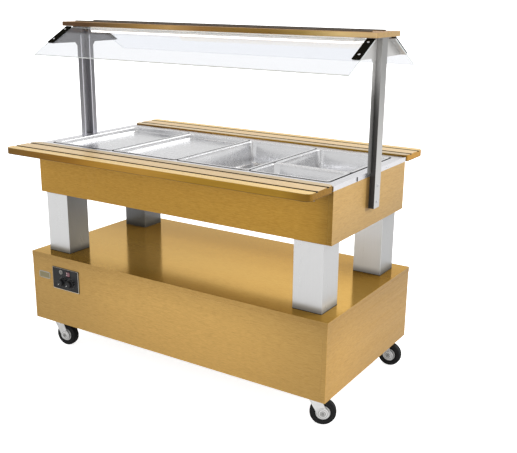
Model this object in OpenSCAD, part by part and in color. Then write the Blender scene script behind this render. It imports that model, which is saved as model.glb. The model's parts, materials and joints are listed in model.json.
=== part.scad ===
// Mobile steam table: a heated well for four full-size food pans on a
// veneered cabinet with castors, tray slides, lamp canopy and glass guards.
// Millimetres. X runs along the length (left is -X), Y is the depth with the
// control side, the front, at -Y, Z is up. The origin is on the floor, midway
// under the cabinet.

/* [Base cabinet] */
// Length of the base cabinet
base_length = 1460; // [1440:2:1500]
// Depth of the base cabinet
base_depth = 730; // [720:2:760]
// Height of the base cabinet without castors
base_height = 310; // [290:2:340]
// Thickness of the side panels
panel_thick = 18; // [16:1:20]
// Thickness of the plate shelf board
shelf_thick = 22; // [18:1:25]
// Overhang of the shelf board past the panels
shelf_lip = 1; // [1:0.5:5]

/* [Columns] */
// Width of a square column
column_width = 120; // [100:2:124]
// Half spacing of the columns along the length
column_x = 615; // [600:1:625]
// Half spacing of the columns across the depth
column_y = 249; // [240:1:249]
// Free height between the two cabinets
column_height = 260; // [240:5:300]

/* [Upper cabinet] */
// Length of the upper cabinet
upper_length = 1410; // [1404:2:1416]
// Depth of the upper cabinet
upper_depth = 620; // [612:2:626]
// Height of the wooden part of the upper cabinet
upper_height = 193; // [190:1:200]
// Height of the steel rim above the wood
rim_height = 18; // [16:1:20]

/* [Well and pans] */
// Distance between the centres of neighbouring full-size pans
pan_pitch = 332; // [330:1:333]
// Depth of the three deep pans
pan_deep = 100; // [65:5:100]
// Depth of the two shallow display pans
pan_shallow = 20; // [20:5:40]
// Sheet thickness of the pans
pan_sheet = 1.2; // [0.8:0.1:1.5]
// Height of the pan rim above the steel rim
pan_lift = 0.2; // [0.2:0.1:0.5]

/* [Tray slides] */
// Half length of a tray slide
slide_x = 709; // [660:1:712]
// Distance of the outer edge of a tray slide from the middle
slide_y = 484; // [470:2:500]
// Thickness of a tray slide
slide_thick = 27; // [18:1:30]
// Width of the grooves in a tray slide
groove_width = 14; // [8:1:16]
// Depth of the grooves in a tray slide
groove_depth = 4; // [3:1:10]

/* [Canopy] */
// Half length of the canopy board
canopy_x = 741; // [735:1:760]
// Half depth of the canopy board
canopy_y = 102; // [100:1:110]
// Thickness of the canopy board
canopy_thick = 18.5; // [16:0.5:20]
// Height of the canopy underside above the floor
canopy_z = 1383; // [1380:1:1400]
// Half length of a glass guard
glass_x = 728; // [720:1:732]
// Thickness of a glass guard
glass_thick = 5; // [4:0.5:6]

/* [Castors] */
// Half spacing of the swivel axes along the length
castor_x = 645; // [635:1:650]
// Half spacing of the swivel axes across the depth
castor_y = 308; // [300:1:312]
// Overall height of a castor
castor_height = 125; // [125:1:127]
// Horizontal offset between swivel axis and wheel axle
trail = 44; // [40:1:46]
// Wheel diameter
wheel_diameter = 100; // [98:1:100]

/* [Hidden] */

// levels, from the floor up
base_z = castor_height;               // underside of the base cabinet
shelf_z = base_z + base_height;       // top of the plate shelf
shelf_low = shelf_z - shelf_thick;    // underside of the plate shelf
upper_z = shelf_z + column_height;    // underside of the upper cabinet
wood_z = upper_z + upper_height;      // top of the upper panels
rim_z = wood_z + rim_height;          // top of the steel rim

// half sizes of the cabinets
shelf_x = base_length / 2;
shelf_y = base_depth / 2;
base_x = shelf_x - shelf_lip;
base_y = shelf_y - shelf_lip;
upper_x = upper_length / 2;
upper_y = upper_depth / 2;

sides = [-1, 1];                      // left and right, or front and rear
floor_thick = 18;                     // bottom boards of both cabinets
passage_y = 240;                      // pipe and cable passages at the columns
passage_radius = 30;

veneer = "#B98A3E";
veneer_end = "#CDA366";
oak = "#E8C88C";
steel = "#C9CACC";
pale_steel = "#B9BBBE";
dark_steel = "#55565A";
screw_grey = "#8D8F92";
black = "#1D1D1F";
rubber = "#232321";
opal = "#FBF8EE";
ivory = "#E9E2D8";
clear = "#DCE8EA";
wool = "#D9C36A";
red = "#B5302A";
crimson = "#C2304A";

// ---- shared shapes ----
// outline of a rectangle with rounded corners
function rounded(x0, y0, x1, y1, radius, steps = 6) = [
  for (corner = [[x1 - radius, y1 - radius, 0], [x0 + radius, y1 - radius, 90],
                 [x0 + radius, y0 + radius, 180], [x1 - radius, y0 + radius, 270]])
    for (i = [0 : steps])
      [corner[0] + radius * cos(corner[2] + 90 * i / steps),
       corner[1] + radius * sin(corner[2] + 90 * i / steps)]];

// the same, centred, from half sizes
function rounded_centred(x, y, radius) = rounded(-x, -y, x, y, radius);

// box between two values on each axis, given in either order
module box(x0, x1, y0, y1, z0, z1)
  translate([min(x0, x1), min(y0, y1), min(z0, z1)])
    cube([abs(x1 - x0), abs(y1 - y0), abs(z1 - z0)]);

// box centred on the Z axis, from half sizes
module block(x, y, z0, z1) box(-x, x, -y, y, z0, z1);

// cylinders along Z, X and Y
module rod(x, y, z0, z1, radius, facets = 48)
  translate([x, y, z0]) cylinder(h = z1 - z0, r = radius, $fn = facets);

module rod_x(x0, x1, y, z, radius, facets = 48)
  translate([x0, y, z]) rotate([0, 90, 0]) cylinder(h = x1 - x0, r = radius, $fn = facets);

module rod_y(x, y0, y1, z, radius, facets = 48)
  translate([x, y0, z]) rotate([-90, 0, 0]) cylinder(h = y1 - y0, r = radius, $fn = facets);

// outline of [y, z] points extruded from x0 to x1, mirrored to -Y if side is -1
module profile_x(x0, x1, points, side = 1)
  translate([min(x0, x1), 0, 0]) rotate([90, 0, 90]) linear_extrude(height = abs(x1 - x0))
    polygon([for (p = points) [side * p[0], p[1]]]);

// outline of [x, z] points extruded evenly about the plane at y
module profile_y(y, thick, points)
  translate([0, y + thick / 2, 0]) rotate([90, 0, 0]) linear_extrude(height = thick)
    polygon(points);

// panels of a cabinet with half sizes x and y: along the length, at an end, below
module long_panel(side, x, y, z0, z1)
  box(-x + panel_thick, x - panel_thick, side * (y - panel_thick), side * y, z0, z1);

module end_panel(side, x, y, z0, z1)
  box(side * (x - panel_thick), side * x, -y, y, z0, z1);

module floor_board(x, y, z)
  block(x - panel_thick, y - panel_thick, z, z + floor_thick);

// the four passages, cut through a board
module passages(z0, z1)
  for (sx = sides, sy = sides)
    rod(sx * column_x, sy * passage_y, z0 - 1, z1 + 1, passage_radius);

// ---- base cabinet ----
module base_top_board() color(veneer) difference() {
  block(shelf_x, shelf_y, shelf_low, shelf_z);
  passages(shelf_low, shelf_z);
}
module base_front_panel() color(veneer) difference() {
  long_panel(-1, base_x, base_y, base_z, shelf_low);
  // opening for the controls
  plate_block(67, 41, -1, panel_thick + 1);
}
module base_rear_panel() color(veneer) difference() {
  long_panel(1, base_x, base_y, base_z, shelf_low);
  rod_y(cord_x, base_y - panel_thick - 1, base_y + 1, cord_z, 8);
}
module base_left_panel() color(veneer_end) end_panel(-1, base_x, base_y, base_z, shelf_low);
module base_right_panel() color(veneer_end) end_panel(1, base_x, base_y, base_z, shelf_low);
module base_bottom_board() color(veneer) difference() {
  floor_board(base_x, base_y, base_z);
  rod(tap_x, drain_y, base_z - 1, base_z + floor_thick + 1, 17);
}

// ---- columns: square steel sleeves with end plates ----
column_sheet = 1.5;
column_end = 3;                       // thickness of the end plates

module column(sx, sy) color(steel) difference() {
  translate([sx * column_x, sy * column_y, 0]) {
    half = column_width / 2;
    block(half, half, shelf_z, upper_z);
  }
  translate([sx * column_x, sy * column_y, 0]) {
    inner = column_width / 2 - column_sheet;
    block(inner, inner, shelf_z + column_end, upper_z - column_end);
  }
  rod(sx * column_x, sy * passage_y, shelf_z - 1, upper_z + 1, passage_radius - 3);
}
module column_front_left() column(-1, -1);
module column_front_right() column(1, -1);
module column_rear_left() column(-1, 1);
module column_rear_right() column(1, 1);

// ---- upper cabinet ----
module upper_front_panel() color(veneer) long_panel(-1, upper_x, upper_y, upper_z, wood_z);
module upper_rear_panel() color(veneer) long_panel(1, upper_x, upper_y, upper_z, wood_z);
module upper_left_panel() color(veneer_end) end_panel(-1, upper_x, upper_y, upper_z, wood_z);
module upper_right_panel() color(veneer_end) end_panel(1, upper_x, upper_y, upper_z, wood_z);
module upper_bottom_board() color(veneer) difference() {
  floor_board(upper_x, upper_y, upper_z);
  passages(upper_z, upper_z + floor_thick);
}

// ---- water well: tank, rim with folded edges and welded cross bars ----
well_x = 652;                         // half size of the well opening
well_y = 256;
well_z = rim_z - 148;                 // outside bottom of the well
well_sheet = 1.5;
rim_y = upper_y + 1.7;                // half depth of the rim
bar_half = 12;                        // half width of a cross bar
bar_height = 10;
short_bar_y = [-97.5, -80.5];         // front and rear of the short bar
drain_x = -615;                       // drain outlet in the well
drain_y = 232;

module water_well() color(steel) difference() {
  union() {
    // rim plate and its folded edges
    difference() {
      block(upper_x, rim_y, wood_z, rim_z);
      block(upper_x - well_sheet, rim_y - well_sheet, wood_z - 1, rim_z - well_sheet);
      block(well_x, well_y, wood_z - 1, rim_z + 1);
    }
    // in-turned foot of the fold, resting on the panels
    difference() {
      block(upper_x - 0.7, upper_y, wood_z, wood_z + well_sheet);
      block(upper_x - 15, upper_y - 15, wood_z - 1, wood_z + 3);
    }
    // tank
    difference() {
      block(well_x + well_sheet, well_y + well_sheet, well_z, rim_z - 0.5);
      block(well_x, well_y, well_z + well_sheet, rim_z + 1);
    }
    // cross bars between the full-size places
    for (i = [-1 : 1]) translate([i * pan_pitch, 0, 0]) difference() {
      block(bar_half, well_y + 0.7, rim_z - bar_height, rim_z);
      block(bar_half - well_sheet, well_y - 2, rim_z - bar_height - 1, rim_z - well_sheet);
    }
    // short bar between the one-third and the two-thirds place
    difference() {
      box(pan_pitch + 11, well_x + 0.7, short_bar_y[0], short_bar_y[1],
          rim_z - bar_height, rim_z);
      box(pan_pitch + 14, well_x - 2, short_bar_y[0] + well_sheet,
          short_bar_y[1] - well_sheet, rim_z - bar_height - 1, rim_z - well_sheet);
    }
  }
  rod(drain_x, drain_y, well_z - 1, well_z + 3, 9);
}

// ---- heating element: four straight runs joined by half loops ----
run_pitch = 100;                      // distance between neighbouring runs
run_x = 500;                          // the half loops start here
outer_run = 1.5 * run_pitch;          // the two outer runs
element_end = 600;                    // right end of the outer runs
tube_radius = 4;

module well_insulation() color(wool) difference() {
  block(upper_x - 20, upper_y - 20, upper_z + floor_thick + 1, wood_z - 1);
  block(well_x + 8, well_y + 6, well_z - 14, wood_z);
  rod(drain_x, drain_y, upper_z, well_z, 15);
  // holes below the ends of the element
  for (side = sides) rod(element_end, side * outer_run, upper_z, well_z, 12);
}
module half_loop(x, y, turn)
  translate([x, y, 0]) rotate([0, 0, turn]) rotate_extrude(angle = 180, $fn = 64)
    translate([run_pitch / 2, 0]) circle(r = tube_radius, $fn = 32);
module heating_element() color(dark_steel) translate([0, 0, well_z - 4.2]) {
  for (side = sides) {
    rod_x(-run_x, element_end, side * outer_run, 0, tube_radius, 32);
    rod_x(-run_x, run_x, side * run_pitch / 2, 0, tube_radius, 32);
    half_loop(-run_x, side * run_pitch, 90);
    // collar and thin end pin
    rod_x(element_end, element_end + 4, side * outer_run, 0, tube_radius + 0.15, 32);
    rod_x(element_end + 4, element_end + 34, side * outer_run, 0, 2.5, 32);
  }
  half_loop(run_x, 0, -90);
}

// ---- drain: pipe down a column and across the base to a ball valve ----
tap_x = -450;                         // vertical run to the valve
run_z = 300;                          // level run inside the base
pipe_radius = 11;
bore_radius = 9;
valve_z = 98;

// pipe or bore from the well to the tap, with ball-shaped elbows
module drain_run(radius, elbow_radius, top) {
  rod(drain_x, drain_y, run_z, top, radius);
  translate([drain_x, drain_y, run_z]) sphere(r = elbow_radius, $fn = 48);
  rod_x(drain_x, tap_x, drain_y, run_z, radius);
  translate([tap_x, drain_y, run_z]) sphere(r = elbow_radius, $fn = 48);
}
module drain_pipe() color(steel) difference() {
  union() {
    drain_run(pipe_radius, 14, well_z - 0.2);
    rod(tap_x, drain_y, 116, run_z, pipe_radius);
    // valve body with its stem boss
    rod(tap_x, drain_y, valve_z - 20, valve_z + 20, 16);
    rod_y(tap_x, drain_y, drain_y + 30, valve_z, 9);
    // plain hose nozzle
    rod(tap_x, drain_y, 50, 80, 8);
  }
  drain_run(bore_radius, 11, well_z + 2);
  rod(tap_x, drain_y, 106, run_z, bore_radius);
  rod(tap_x, drain_y, 49, 88, 6);
  rod_y(tap_x, drain_y + 12, drain_y + 31, valve_z, 4.05);
}
module drain_lever() color(red) {
  // stem, boss and handle; the handle lies along X
  rod_y(tap_x, drain_y + 13, drain_y + 37, valve_z, 4);
  rod_y(tap_x, drain_y + 31, drain_y + 37, valve_z, 9);
  difference() {
    box(tap_x, tap_x + 74, drain_y + 32, drain_y + 36, valve_z - 6, valve_z + 6);
    rod_y(tap_x + 67, drain_y + 30, drain_y + 38, valve_z, 3, 32);
  }
}

// ---- food pans: pressed tubs with a flat rim ----
pan_x = 325 / 2;                      // half width of every pan
pan_length = 530;                     // size of a full pan along Y
third_length = 175.5;
two_thirds_length = 353.5;
pan_flange = 11;                      // width of the flat rim
pan_corner = 24;                      // corner radius of the tub

// place counts pitches from the middle; side moves a short pan to that end of the place
module pan(place, length, depth, side = 0) color(steel)
  translate([place * pan_pitch, side * (pan_length - length) / 2, rim_z + pan_lift])
    difference() {
      tub_x = pan_x - pan_flange;
      tub_y = length / 2 - pan_flange;
      union() {
        linear_extrude(height = 1.5) polygon(rounded_centred(pan_x, length / 2, 14));
        translate([0, 0, -depth]) linear_extrude(height = depth + 0.5)
          polygon(rounded_centred(tub_x, tub_y, pan_corner));
      }
      translate([0, 0, -depth + pan_sheet]) linear_extrude(height = depth + 5)
        polygon(rounded_centred(tub_x - pan_sheet, tub_y - pan_sheet, pan_corner - pan_sheet));
    }
module pan_full_1() pan(-1.5, pan_length, pan_shallow);
module pan_full_2() pan(-0.5, pan_length, pan_shallow);
module pan_full_3() pan(0.5, pan_length, pan_deep);
module pan_third() pan(1.5, third_length, pan_deep, side = -1);
module pan_two_thirds() pan(1.5, two_thirds_length, pan_deep, side = 1);

// ---- tray slides: grooved oak boards on brackets ----
slide_z = rim_z + 7;                  // top of a tray slide
slide_low = slide_z - slide_thick;    // underside of a tray slide
slide_inner = upper_y + 4;            // inner edge of a tray slide
groove_y = [357, 434];                // groove centres
bracket_x = [-620, -207, 207, 620];

module tray_slide(side) color(oak) difference() {
  translate([0, 0, slide_low]) linear_extrude(height = slide_thick)
    polygon([for (p = rounded(-slide_x, slide_inner, slide_x, slide_y, 22))
      [p[0], side * p[1]]]);
  for (y = groove_y)
    box(-slide_x - 1, slide_x + 1, side * y - groove_width / 2, side * y + groove_width / 2,
        slide_z - groove_depth, slide_z + 1);
}
module tray_slide_front() tray_slide(-1);
module tray_slide_rear() tray_slide(1);

// wall plate, arm and tapering web
module tray_bracket(x, side) {
  box(x - 15, x + 15, side * upper_y, side * (upper_y + 3), slide_low - 42, slide_low - 6);
  box(x - 15, x + 15, side * (upper_y + 2), side * 445, slide_low - 3, slide_low);
  profile_x(x - 1.5, x + 1.5, side = side, points = [
    [upper_y + 2.2, slide_low - 1], [upper_y + 2.2, slide_low - 38],
    [upper_y + 6, slide_low - 38], [436, slide_low - 2.5]]);
}
module tray_brackets() color(steel)
  for (x = bracket_x, side = sides) tray_bracket(x, side);

// ---- slope of the glass guards; side is -1 at the front, 1 at the rear ----
glass_top = [80, canopy_z - 6];       // upper edge of the glass underside [y, z]
glass_low = [277.5, canopy_z - 114];  // its lower edge [y, z]
glass_angle = atan2(glass_top[1] - glass_low[1], glass_low[0] - glass_top[0]);
glass_length = norm(glass_low - glass_top);

// [y, z] at a distance down the slope and an offset off the glass underside
function slope_point(down, off) = [
  glass_top[0] + down * cos(glass_angle) + off * sin(glass_angle),
  glass_top[1] - down * sin(glass_angle) + off * cos(glass_angle)];

// bar lying on the slope; down and off are [from, to]
module slope_bar(side, x0, x1, down, off)
  profile_x(x0, x1, side = side, points = [
    slope_point(down[0], off[0]), slope_point(down[1], off[0]),
    slope_point(down[1], off[1]), slope_point(down[0], off[1])]);

// ---- posts: folded hat sections that widen into wings at the top ----
post_inner = upper_x + 0.2;           // inner plane of a post
post_outer = post_inner + 22;         // outer plane of a post
web_y = 23.5;                         // half width of the post's web
flange_y = 48.5;                      // half width over the flanges
post_z = upper_z + 73;                // lower end of a post
post_sheet = 1.5;
post_screws = [upper_z + 96, upper_z + 158];
clamp_length = 132;                   // lower end of the sloped flange
clamp_x = post_inner + 8;             // clamp screws along X
clamp_down = [30, 108];               // clamp screws, distance down the slope
screw_hole = 2.7;                     // radius of the screw holes
wing = slope_point(clamp_length, -2);

// one edge of flange and wing [y, z], from the bottom up
wing_edge = [
  [flange_y, rim_z - 8], [flange_y, wing[1] - 16], [flange_y + 12, wing[1] - 1],
  wing, slope_point(2, -2), [66, canopy_z]];

// children at the clamp screws, +Z along the outward normal of the slope
module at_clamp_screws(off, across = sides, along = sides)
  for (side = across, end = along, down = clamp_down) {
    place = slope_point(down, off);
    translate([end * clamp_x, side * place[0], place[1]])
      rotate([-side * glass_angle, 0, 0]) children();
  }

module post(end) color(steel) mirror([end < 0 ? 1 : 0, 0, 0]) {
  difference() {
    union() {
      // hat: web and two walls, full height
      box(post_inner, post_outer, -web_y, web_y, post_z, canopy_z - 3);
      // flanges and wings, above the rim
      profile_x(post_inner, post_inner + post_sheet, concat(wing_edge,
        [for (i = [len(wing_edge) - 1 : -1 : 0]) [-wing_edge[i][0], wing_edge[i][1]]]));
      // sloped flanges that carry the glass
      for (side = sides)
        slope_bar(side, post_inner - 8, post_inner + 23, [2, clamp_length], [-1.7, -0.2]);
      // head plate under the canopy
      box(640, post_outer, -52, 52, canopy_z - 3, canopy_z);
    }
    box(post_inner - 1, post_outer - post_sheet, -web_y + post_sheet, web_y - post_sheet,
        post_z - 1, canopy_z - 3);
    // fixing holes, two in the web below the rim
    for (z = post_screws) rod_x(post_inner - 2, post_inner + 28, 0, z, screw_hole, 32);
    at_clamp_screws(-4, along = [1]) cylinder(h = 6, r = screw_hole, $fn = 32);
  }
}
module post_left() post(-1);
module post_right() post(1);

// ---- canopy and lamp ----
canopy_top = canopy_z + canopy_thick;
strip_x = 700;                        // half length of a strip
strip_y = 56;                         // distance of a strip from the middle
lamp_x = 628;                         // half sizes of the lamp housing
lamp_y = 45;
lamp_sheet = 1.5;

module canopy_board() color(oak) translate([0, 0, canopy_z])
  linear_extrude(height = canopy_thick) polygon(rounded_centred(canopy_x, canopy_y, 6));
// two channels, open downwards, on top of the board
module canopy_strips() color(black) for (side = sides)
  translate([0, side * strip_y, 0]) difference() {
    block(strip_x, 6, canopy_top, canopy_top + 4.5);
    block(strip_x + 1, 4.5, canopy_top - 1, canopy_top + 3);
  }
module lamp_housing() color(steel) difference() {
  block(lamp_x, lamp_y, canopy_z - 20, canopy_z);
  block(lamp_x - lamp_sheet, lamp_y - lamp_sheet, canopy_z - 21, canopy_z - lamp_sheet);
}
module lamp_diffuser() color(opal) difference() {
  block(lamp_x - 2, lamp_y - 2, canopy_z - 27, canopy_z - 10);
  block(lamp_x - 4, lamp_y - 4, canopy_z - 25, canopy_z - 9);
}

// ---- glass guards and their clamp strips ----
module glass(side) color(clear, 0.35) difference() {
  slope_bar(side, -glass_x, glass_x, [8, glass_length], [0, glass_thick]);
  at_clamp_screws(-1, across = [side]) cylinder(h = glass_thick + 2, r = 4, $fn = 32);
}
module glass_front() glass(-1);
module glass_rear() glass(1);
module glass_clamps() color(black) difference() {
  for (side = sides, end = sides)
    slope_bar(side, end * (post_inner - 8), end * (post_inner + 24),
              [5, clamp_length + 2], [glass_thick + 0.2, glass_thick + 3.2]);
  at_clamp_screws(glass_thick - 1) cylinder(h = 6, r = screw_hole, $fn = 32);
}

// round-headed machine screw, head up along +Z, shank below
module m5(length) {
  cylinder(h = 2.6, r1 = 4.6, r2 = 3.4, $fn = 32);
  translate([0, 0, -length]) cylinder(h = length + 0.5, r = 2.4, $fn = 32);
}
module m5_screws() color(screw_grey) {
  // through the post webs
  for (end = sides, z = post_screws)
    translate([end * post_outer, 0, z]) rotate([0, end * 90, 0]) m5(20);
  // through the clamp strips, the glass and the sloped flanges
  at_clamp_screws(glass_thick + 3.23) m5(12);
}

// ---- controls, on the front panel near its left end ----
face_y = -base_y;                     // outer face of the front panel
plate_x = -531;                       // centre of the control plate
plate_z = base_z + 213;
knob_x = [-549, -503];                // heat and lamp knob
knob_z = plate_z - 13;
shaft_radius = 3;
rocker_x = -515;
rocker_y = face_y + 8;                // pivot pin of the rocker
rocker_z = plate_z + 26;
pilot_x = -557;
pilot_z = plate_z + 30;

// box centred on the control plate; y0 and y1 are measured inwards from the face
module plate_block(half_x, half_z, y0, y1)
  box(plate_x - half_x, plate_x + half_x, face_y + y0, face_y + y1,
      plate_z - half_z, plate_z + half_z);

module control_plate() color(black) difference() {
  union() {
    plate_block(76, 49, -3, 0);
    plate_block(65, 39, -1, 1.5);
  }
  for (x = knob_x) rod_y(x, face_y - 5, face_y + 5, knob_z, 5);
  // rocker window and pilot hole
  box(rocker_x - 11, rocker_x + 11, face_y - 5, face_y + 5, rocker_z - 12, rocker_z + 12);
  rod_y(pilot_x, face_y - 5, face_y + 5, pilot_z, 5.05);
}
// sheet enclosure behind the plate; two bushes guide the knob shafts
module control_box() color(steel) difference() {
  union() {
    difference() {
      plate_block(64, 38, 2, 70);
      plate_block(62.5, 36.5, 1, 68.5);
    }
    for (x = knob_x) rod_y(x, face_y + 12, face_y + 69, knob_z, 17);
    // two pivot lugs of the rocker
    for (x = [rocker_x - 14.4, rocker_x + 11.8])
      box(x, x + 2.4, face_y + 4, face_y + 68.6, rocker_z - 5, rocker_z + 5);
  }
  for (x = knob_x) rod_y(x, face_y + 11, face_y + 41, knob_z, shaft_radius + 0.05);
  rod_x(rocker_x - 20, rocker_x + 20, rocker_y, rocker_z, 1.55, 32);
}
module knob(x) color(black) translate([x, face_y, knob_z]) {
  // shaft, skirt and grip with one index rib
  rod_y(0, -10, 38, 0, shaft_radius);
  rod_y(0, -8, -4, 0, 19, 64);
  translate([0, -22, 0]) rotate([-90, 0, 0]) cylinder(h = 15, r1 = 13.5, r2 = 15, $fn = 64);
  rotate([0, 225, 0]) box(-1.5, 1.5, -23.5, -7.5, 0, 17);
}
module knob_heat() knob(knob_x[0]);
module knob_lamp() knob(knob_x[1]);
// see-saw key on a pin, faces meet at a shallow angle
module rocker_switch() color(crimson)
  translate([0, rocker_y, rocker_z]) rotate([-7, 0, 0]) {
    profile_x(rocker_x - 10, rocker_x + 10, [[-9.5, -9], [-12.8, -9.3], [-11.4, 0],
      [-14.4, 9.3], [-9.5, 9], [3, 3], [3, -3]]);
    rod_x(rocker_x - 13.8, rocker_x + 13.6, 0, 0, 1.5, 32);
  }
module pilot_lamp() color(ivory) translate([pilot_x, face_y, pilot_z]) rotate([-90, 0, 0]) {
  translate([0, 0, -6]) cylinder(h = 3, r1 = 4, r2 = 6.5, $fn = 48);
  rod(0, 0, -3.2, 10.8, 5);
}

// ---- power cord: strain relief in the rear panel, plug hung below ----
cord_x = -300;
cord_z = base_z + 80;
cord_bend = 30;                       // bend radius
bend_y = base_y + 19;                 // start of the bend
plug_y = bend_y + cord_bend;

module power_cord() color(black) {
  rod_y(cord_x, base_y - panel_thick - 6, base_y + 10, cord_z, 7.9);
  rod_y(cord_x, base_y, base_y + 4, cord_z, 13);
  rod_y(cord_x, base_y + 8, base_y + 20, cord_z, 4.5, 32);
  translate([cord_x, bend_y, cord_z - cord_bend]) rotate([0, -90, 0])
    rotate_extrude(angle = 90, $fn = 64) translate([cord_bend, 0]) circle(r = 4.1, $fn = 32);
  rod(cord_x, plug_y, base_z - 10, base_z + 51, 4.6, 32);
  // plug body, its tapered neck and two pins
  rod(cord_x, plug_y, base_z - 62, base_z - 17, 18);
  translate([cord_x, plug_y, base_z - 20]) cylinder(h = 16, r1 = 12, r2 = 6.5, $fn = 48);
  for (side = sides) rod(cord_x + side * 9.5, plug_y, base_z - 80, base_z - 60, 2.4, 32);
}

// ---- castors ----
// swivel axis [x, y] and resting direction of each castor in degrees
castor_fl = [-castor_x, -castor_y, 6];
castor_fr = [castor_x, -castor_y, 27];
castor_rl = [-castor_x, castor_y, -20];
castor_rr = [castor_x, castor_y, 4];

wheel_radius = wheel_diameter / 2;
axle_z = wheel_radius;
crown_z = castor_height - 13.5;       // underside of the fork crown
crown_plate_z = crown_z + 3;          // top of the crown's flat plate
axle_radius = 5;
cheek_radius = 19.5;                  // cheek end about the axle
cheek_y = 20.5;                       // middle of a cheek
pedal_x = 22;                         // cross pin of the brake pedal
pedal_z = axle_z + wheel_radius + 4.5;
pedal_pin = 2.5;                      // radius of the cross pin

// frame of a castor: Z on the swivel axis, +X the trailing direction
module at_castor(castor)
  translate([castor[0], castor[1], 0]) rotate([0, 0, castor[2]]) children();

// frame of a wheel: Z along the axle
module at_axle(castor)
  at_castor(castor) translate([trail, 0, axle_z]) rotate([-90, 0, 0]) children();

module castor_plates() color(steel)
  for (castor = [castor_fl, castor_fr, castor_rl, castor_rr])
    translate([castor[0], castor[1], castor_height]) {
      translate([0, 0, -3]) linear_extrude(height = 3) polygon(rounded_centred(50, 42, 8));
      rod(0, 0, -7, -2, 27, 64);
      // king pin with its riveted head
      rod(0, 0, -17, -5, 6);
      rod(0, 0, -18.5, -14.5, 10);
      // heads of the four fixing screws
      for (sx = sides, sy = sides) rod(sx * 39, sy * 31, -6, -2, 6.5, 6);
    }

// cheek outline [x, z]: wide at the crown, round about the axle
function cheek() = concat(
  [[-10, crown_plate_z], [-10, castor_height - 18]],
  [for (i = [0 : 12]) let (angle = 210 + 205 * i / 12)
    [trail + cheek_radius * cos(angle), axle_z + cheek_radius * sin(angle)]],
  [[37, castor_height - 18], [37, crown_plate_z]]);

// fork with riveted axle
module fork(castor) color(pale_steel) at_castor(castor) difference() {
  union() {
    // crown under the swivel race
    rod(0, 0, crown_z, crown_z + 6, 28, 64);
    box(0, 26, -21, 21, crown_z, crown_plate_z);
    for (side = sides) profile_y(side * cheek_y, 2, cheek());
    // axle and its rivet heads
    rod_y(trail, -23, 23, axle_z, axle_radius);
    for (side = sides) rod_y(trail, side * 22.8 - 1.7, side * 22.8 + 1.7, axle_z, 8.5);
  }
  // bores for the king pin and the pedal's cross pin
  rod(0, 0, castor_height - 20, castor_height - 6, 6.05);
  rod_y(pedal_x, -24, 24, pedal_z, pedal_pin + 0.05, 32);
}
module fork_front_left() fork(castor_fl);
module fork_front_right() fork(castor_fr);
module fork_rear_left() fork(castor_rl);
module fork_rear_right() fork(castor_rr);

hub_radius = 27;
boss_radius = 11;

module hub(castor) color(pale_steel) at_axle(castor) difference() {
  union() {
    rod(0, 0, -15, 15, hub_radius, 64);
    rod(0, 0, -18.5, 18.5, boss_radius);
  }
  // ring-shaped recess in each face
  for (side = sides) translate([0, 0, side * 14 - 4]) difference() {
    rod(0, 0, 0, 8, 23, 64);
    rod(0, 0, -1, 9, boss_radius);
  }
  rod(0, 0, -20, 20, axle_radius + 0.05);
}
module hub_front_left() hub(castor_fl);
module hub_front_right() hub(castor_fr);
module hub_rear_left() hub(castor_rl);
module hub_rear_right() hub(castor_rr);

// tyre section [radius, distance along the axle]
tyre_section = [
  [hub_radius, -14], [34, -16], [46, -15], [wheel_radius - 0.6, -9], [wheel_radius, -4],
  [wheel_radius, 4], [wheel_radius - 0.6, 9], [46, 15], [34, 16], [hub_radius, 14]];

module tyre(castor) color(rubber) at_axle(castor)
  rotate_extrude($fn = 96) polygon(tyre_section);
module tyre_front_left() tyre(castor_fl);
module tyre_front_right() tyre(castor_fr);
module tyre_rear_left() tyre(castor_rl);
module tyre_rear_right() tyre(castor_rr);

// brake lever outline [x, z], its arm reaching over the tyre
pedal_outline = [
  [pedal_x - 4, pedal_z - 3.6], [pedal_x + 5, pedal_z - 3.2], [trail, pedal_z + 0.6],
  [trail + 34, pedal_z + 1.2], [trail + 45, pedal_z - 1.5], [trail + 58.5, pedal_z - 17],
  [trail + 63, pedal_z - 14], [trail + 50, pedal_z + 3], [trail + 36, pedal_z + 6],
  [trail - 4, pedal_z + 5.4], [pedal_x - 4, pedal_z + 4]];

module brake_pedal(castor) color(black) at_castor(castor) {
  rod_y(pedal_x, -23, 23, pedal_z, pedal_pin, 32);
  profile_y(0, 34, pedal_outline);
}
module brake_pedal_front() brake_pedal(castor_fl);
module brake_pedal_rear() brake_pedal(castor_rl);

base_top_board();
base_front_panel();
base_rear_panel();
base_left_panel();
base_right_panel();
base_bottom_board();
column_front_left();
column_front_right();
column_rear_left();
column_rear_right();
upper_front_panel();
upper_rear_panel();
upper_left_panel();
upper_right_panel();
upper_bottom_board();
water_well();
well_insulation();
heating_element();
drain_pipe();
drain_lever();
pan_full_1();
pan_full_2();
pan_full_3();
pan_third();
pan_two_thirds();
tray_slide_front();
tray_slide_rear();
tray_brackets();
post_left();
post_right();
canopy_board();
canopy_strips();
lamp_housing();
lamp_diffuser();
glass_front();
glass_rear();
glass_clamps();
m5_screws();
control_plate();
control_box();
knob_heat();
knob_lamp();
rocker_switch();
pilot_lamp();
power_cord();
castor_plates();
fork_front_left();
fork_front_right();
fork_rear_left();
fork_rear_right();
hub_front_left();
hub_front_right();
hub_rear_left();
hub_rear_right();
tyre_front_left();
tyre_front_right();
tyre_rear_left();
tyre_rear_right();
brake_pedal_front();
brake_pedal_rear();
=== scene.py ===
# Mobile heated serving table: a veneered cabinet on four castors, square columns over a plate
# shelf, an upper cabinet with food pans and oak tray slides, glass guards and a lit canopy.
# It stands on z = 0 and is centred on the origin. X runs along its length (+X right), the
# controls face -Y (front) and +Y is the rear.
import json
import math

import bmesh
import bpy
from mathutils import Matrix, Vector


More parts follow.
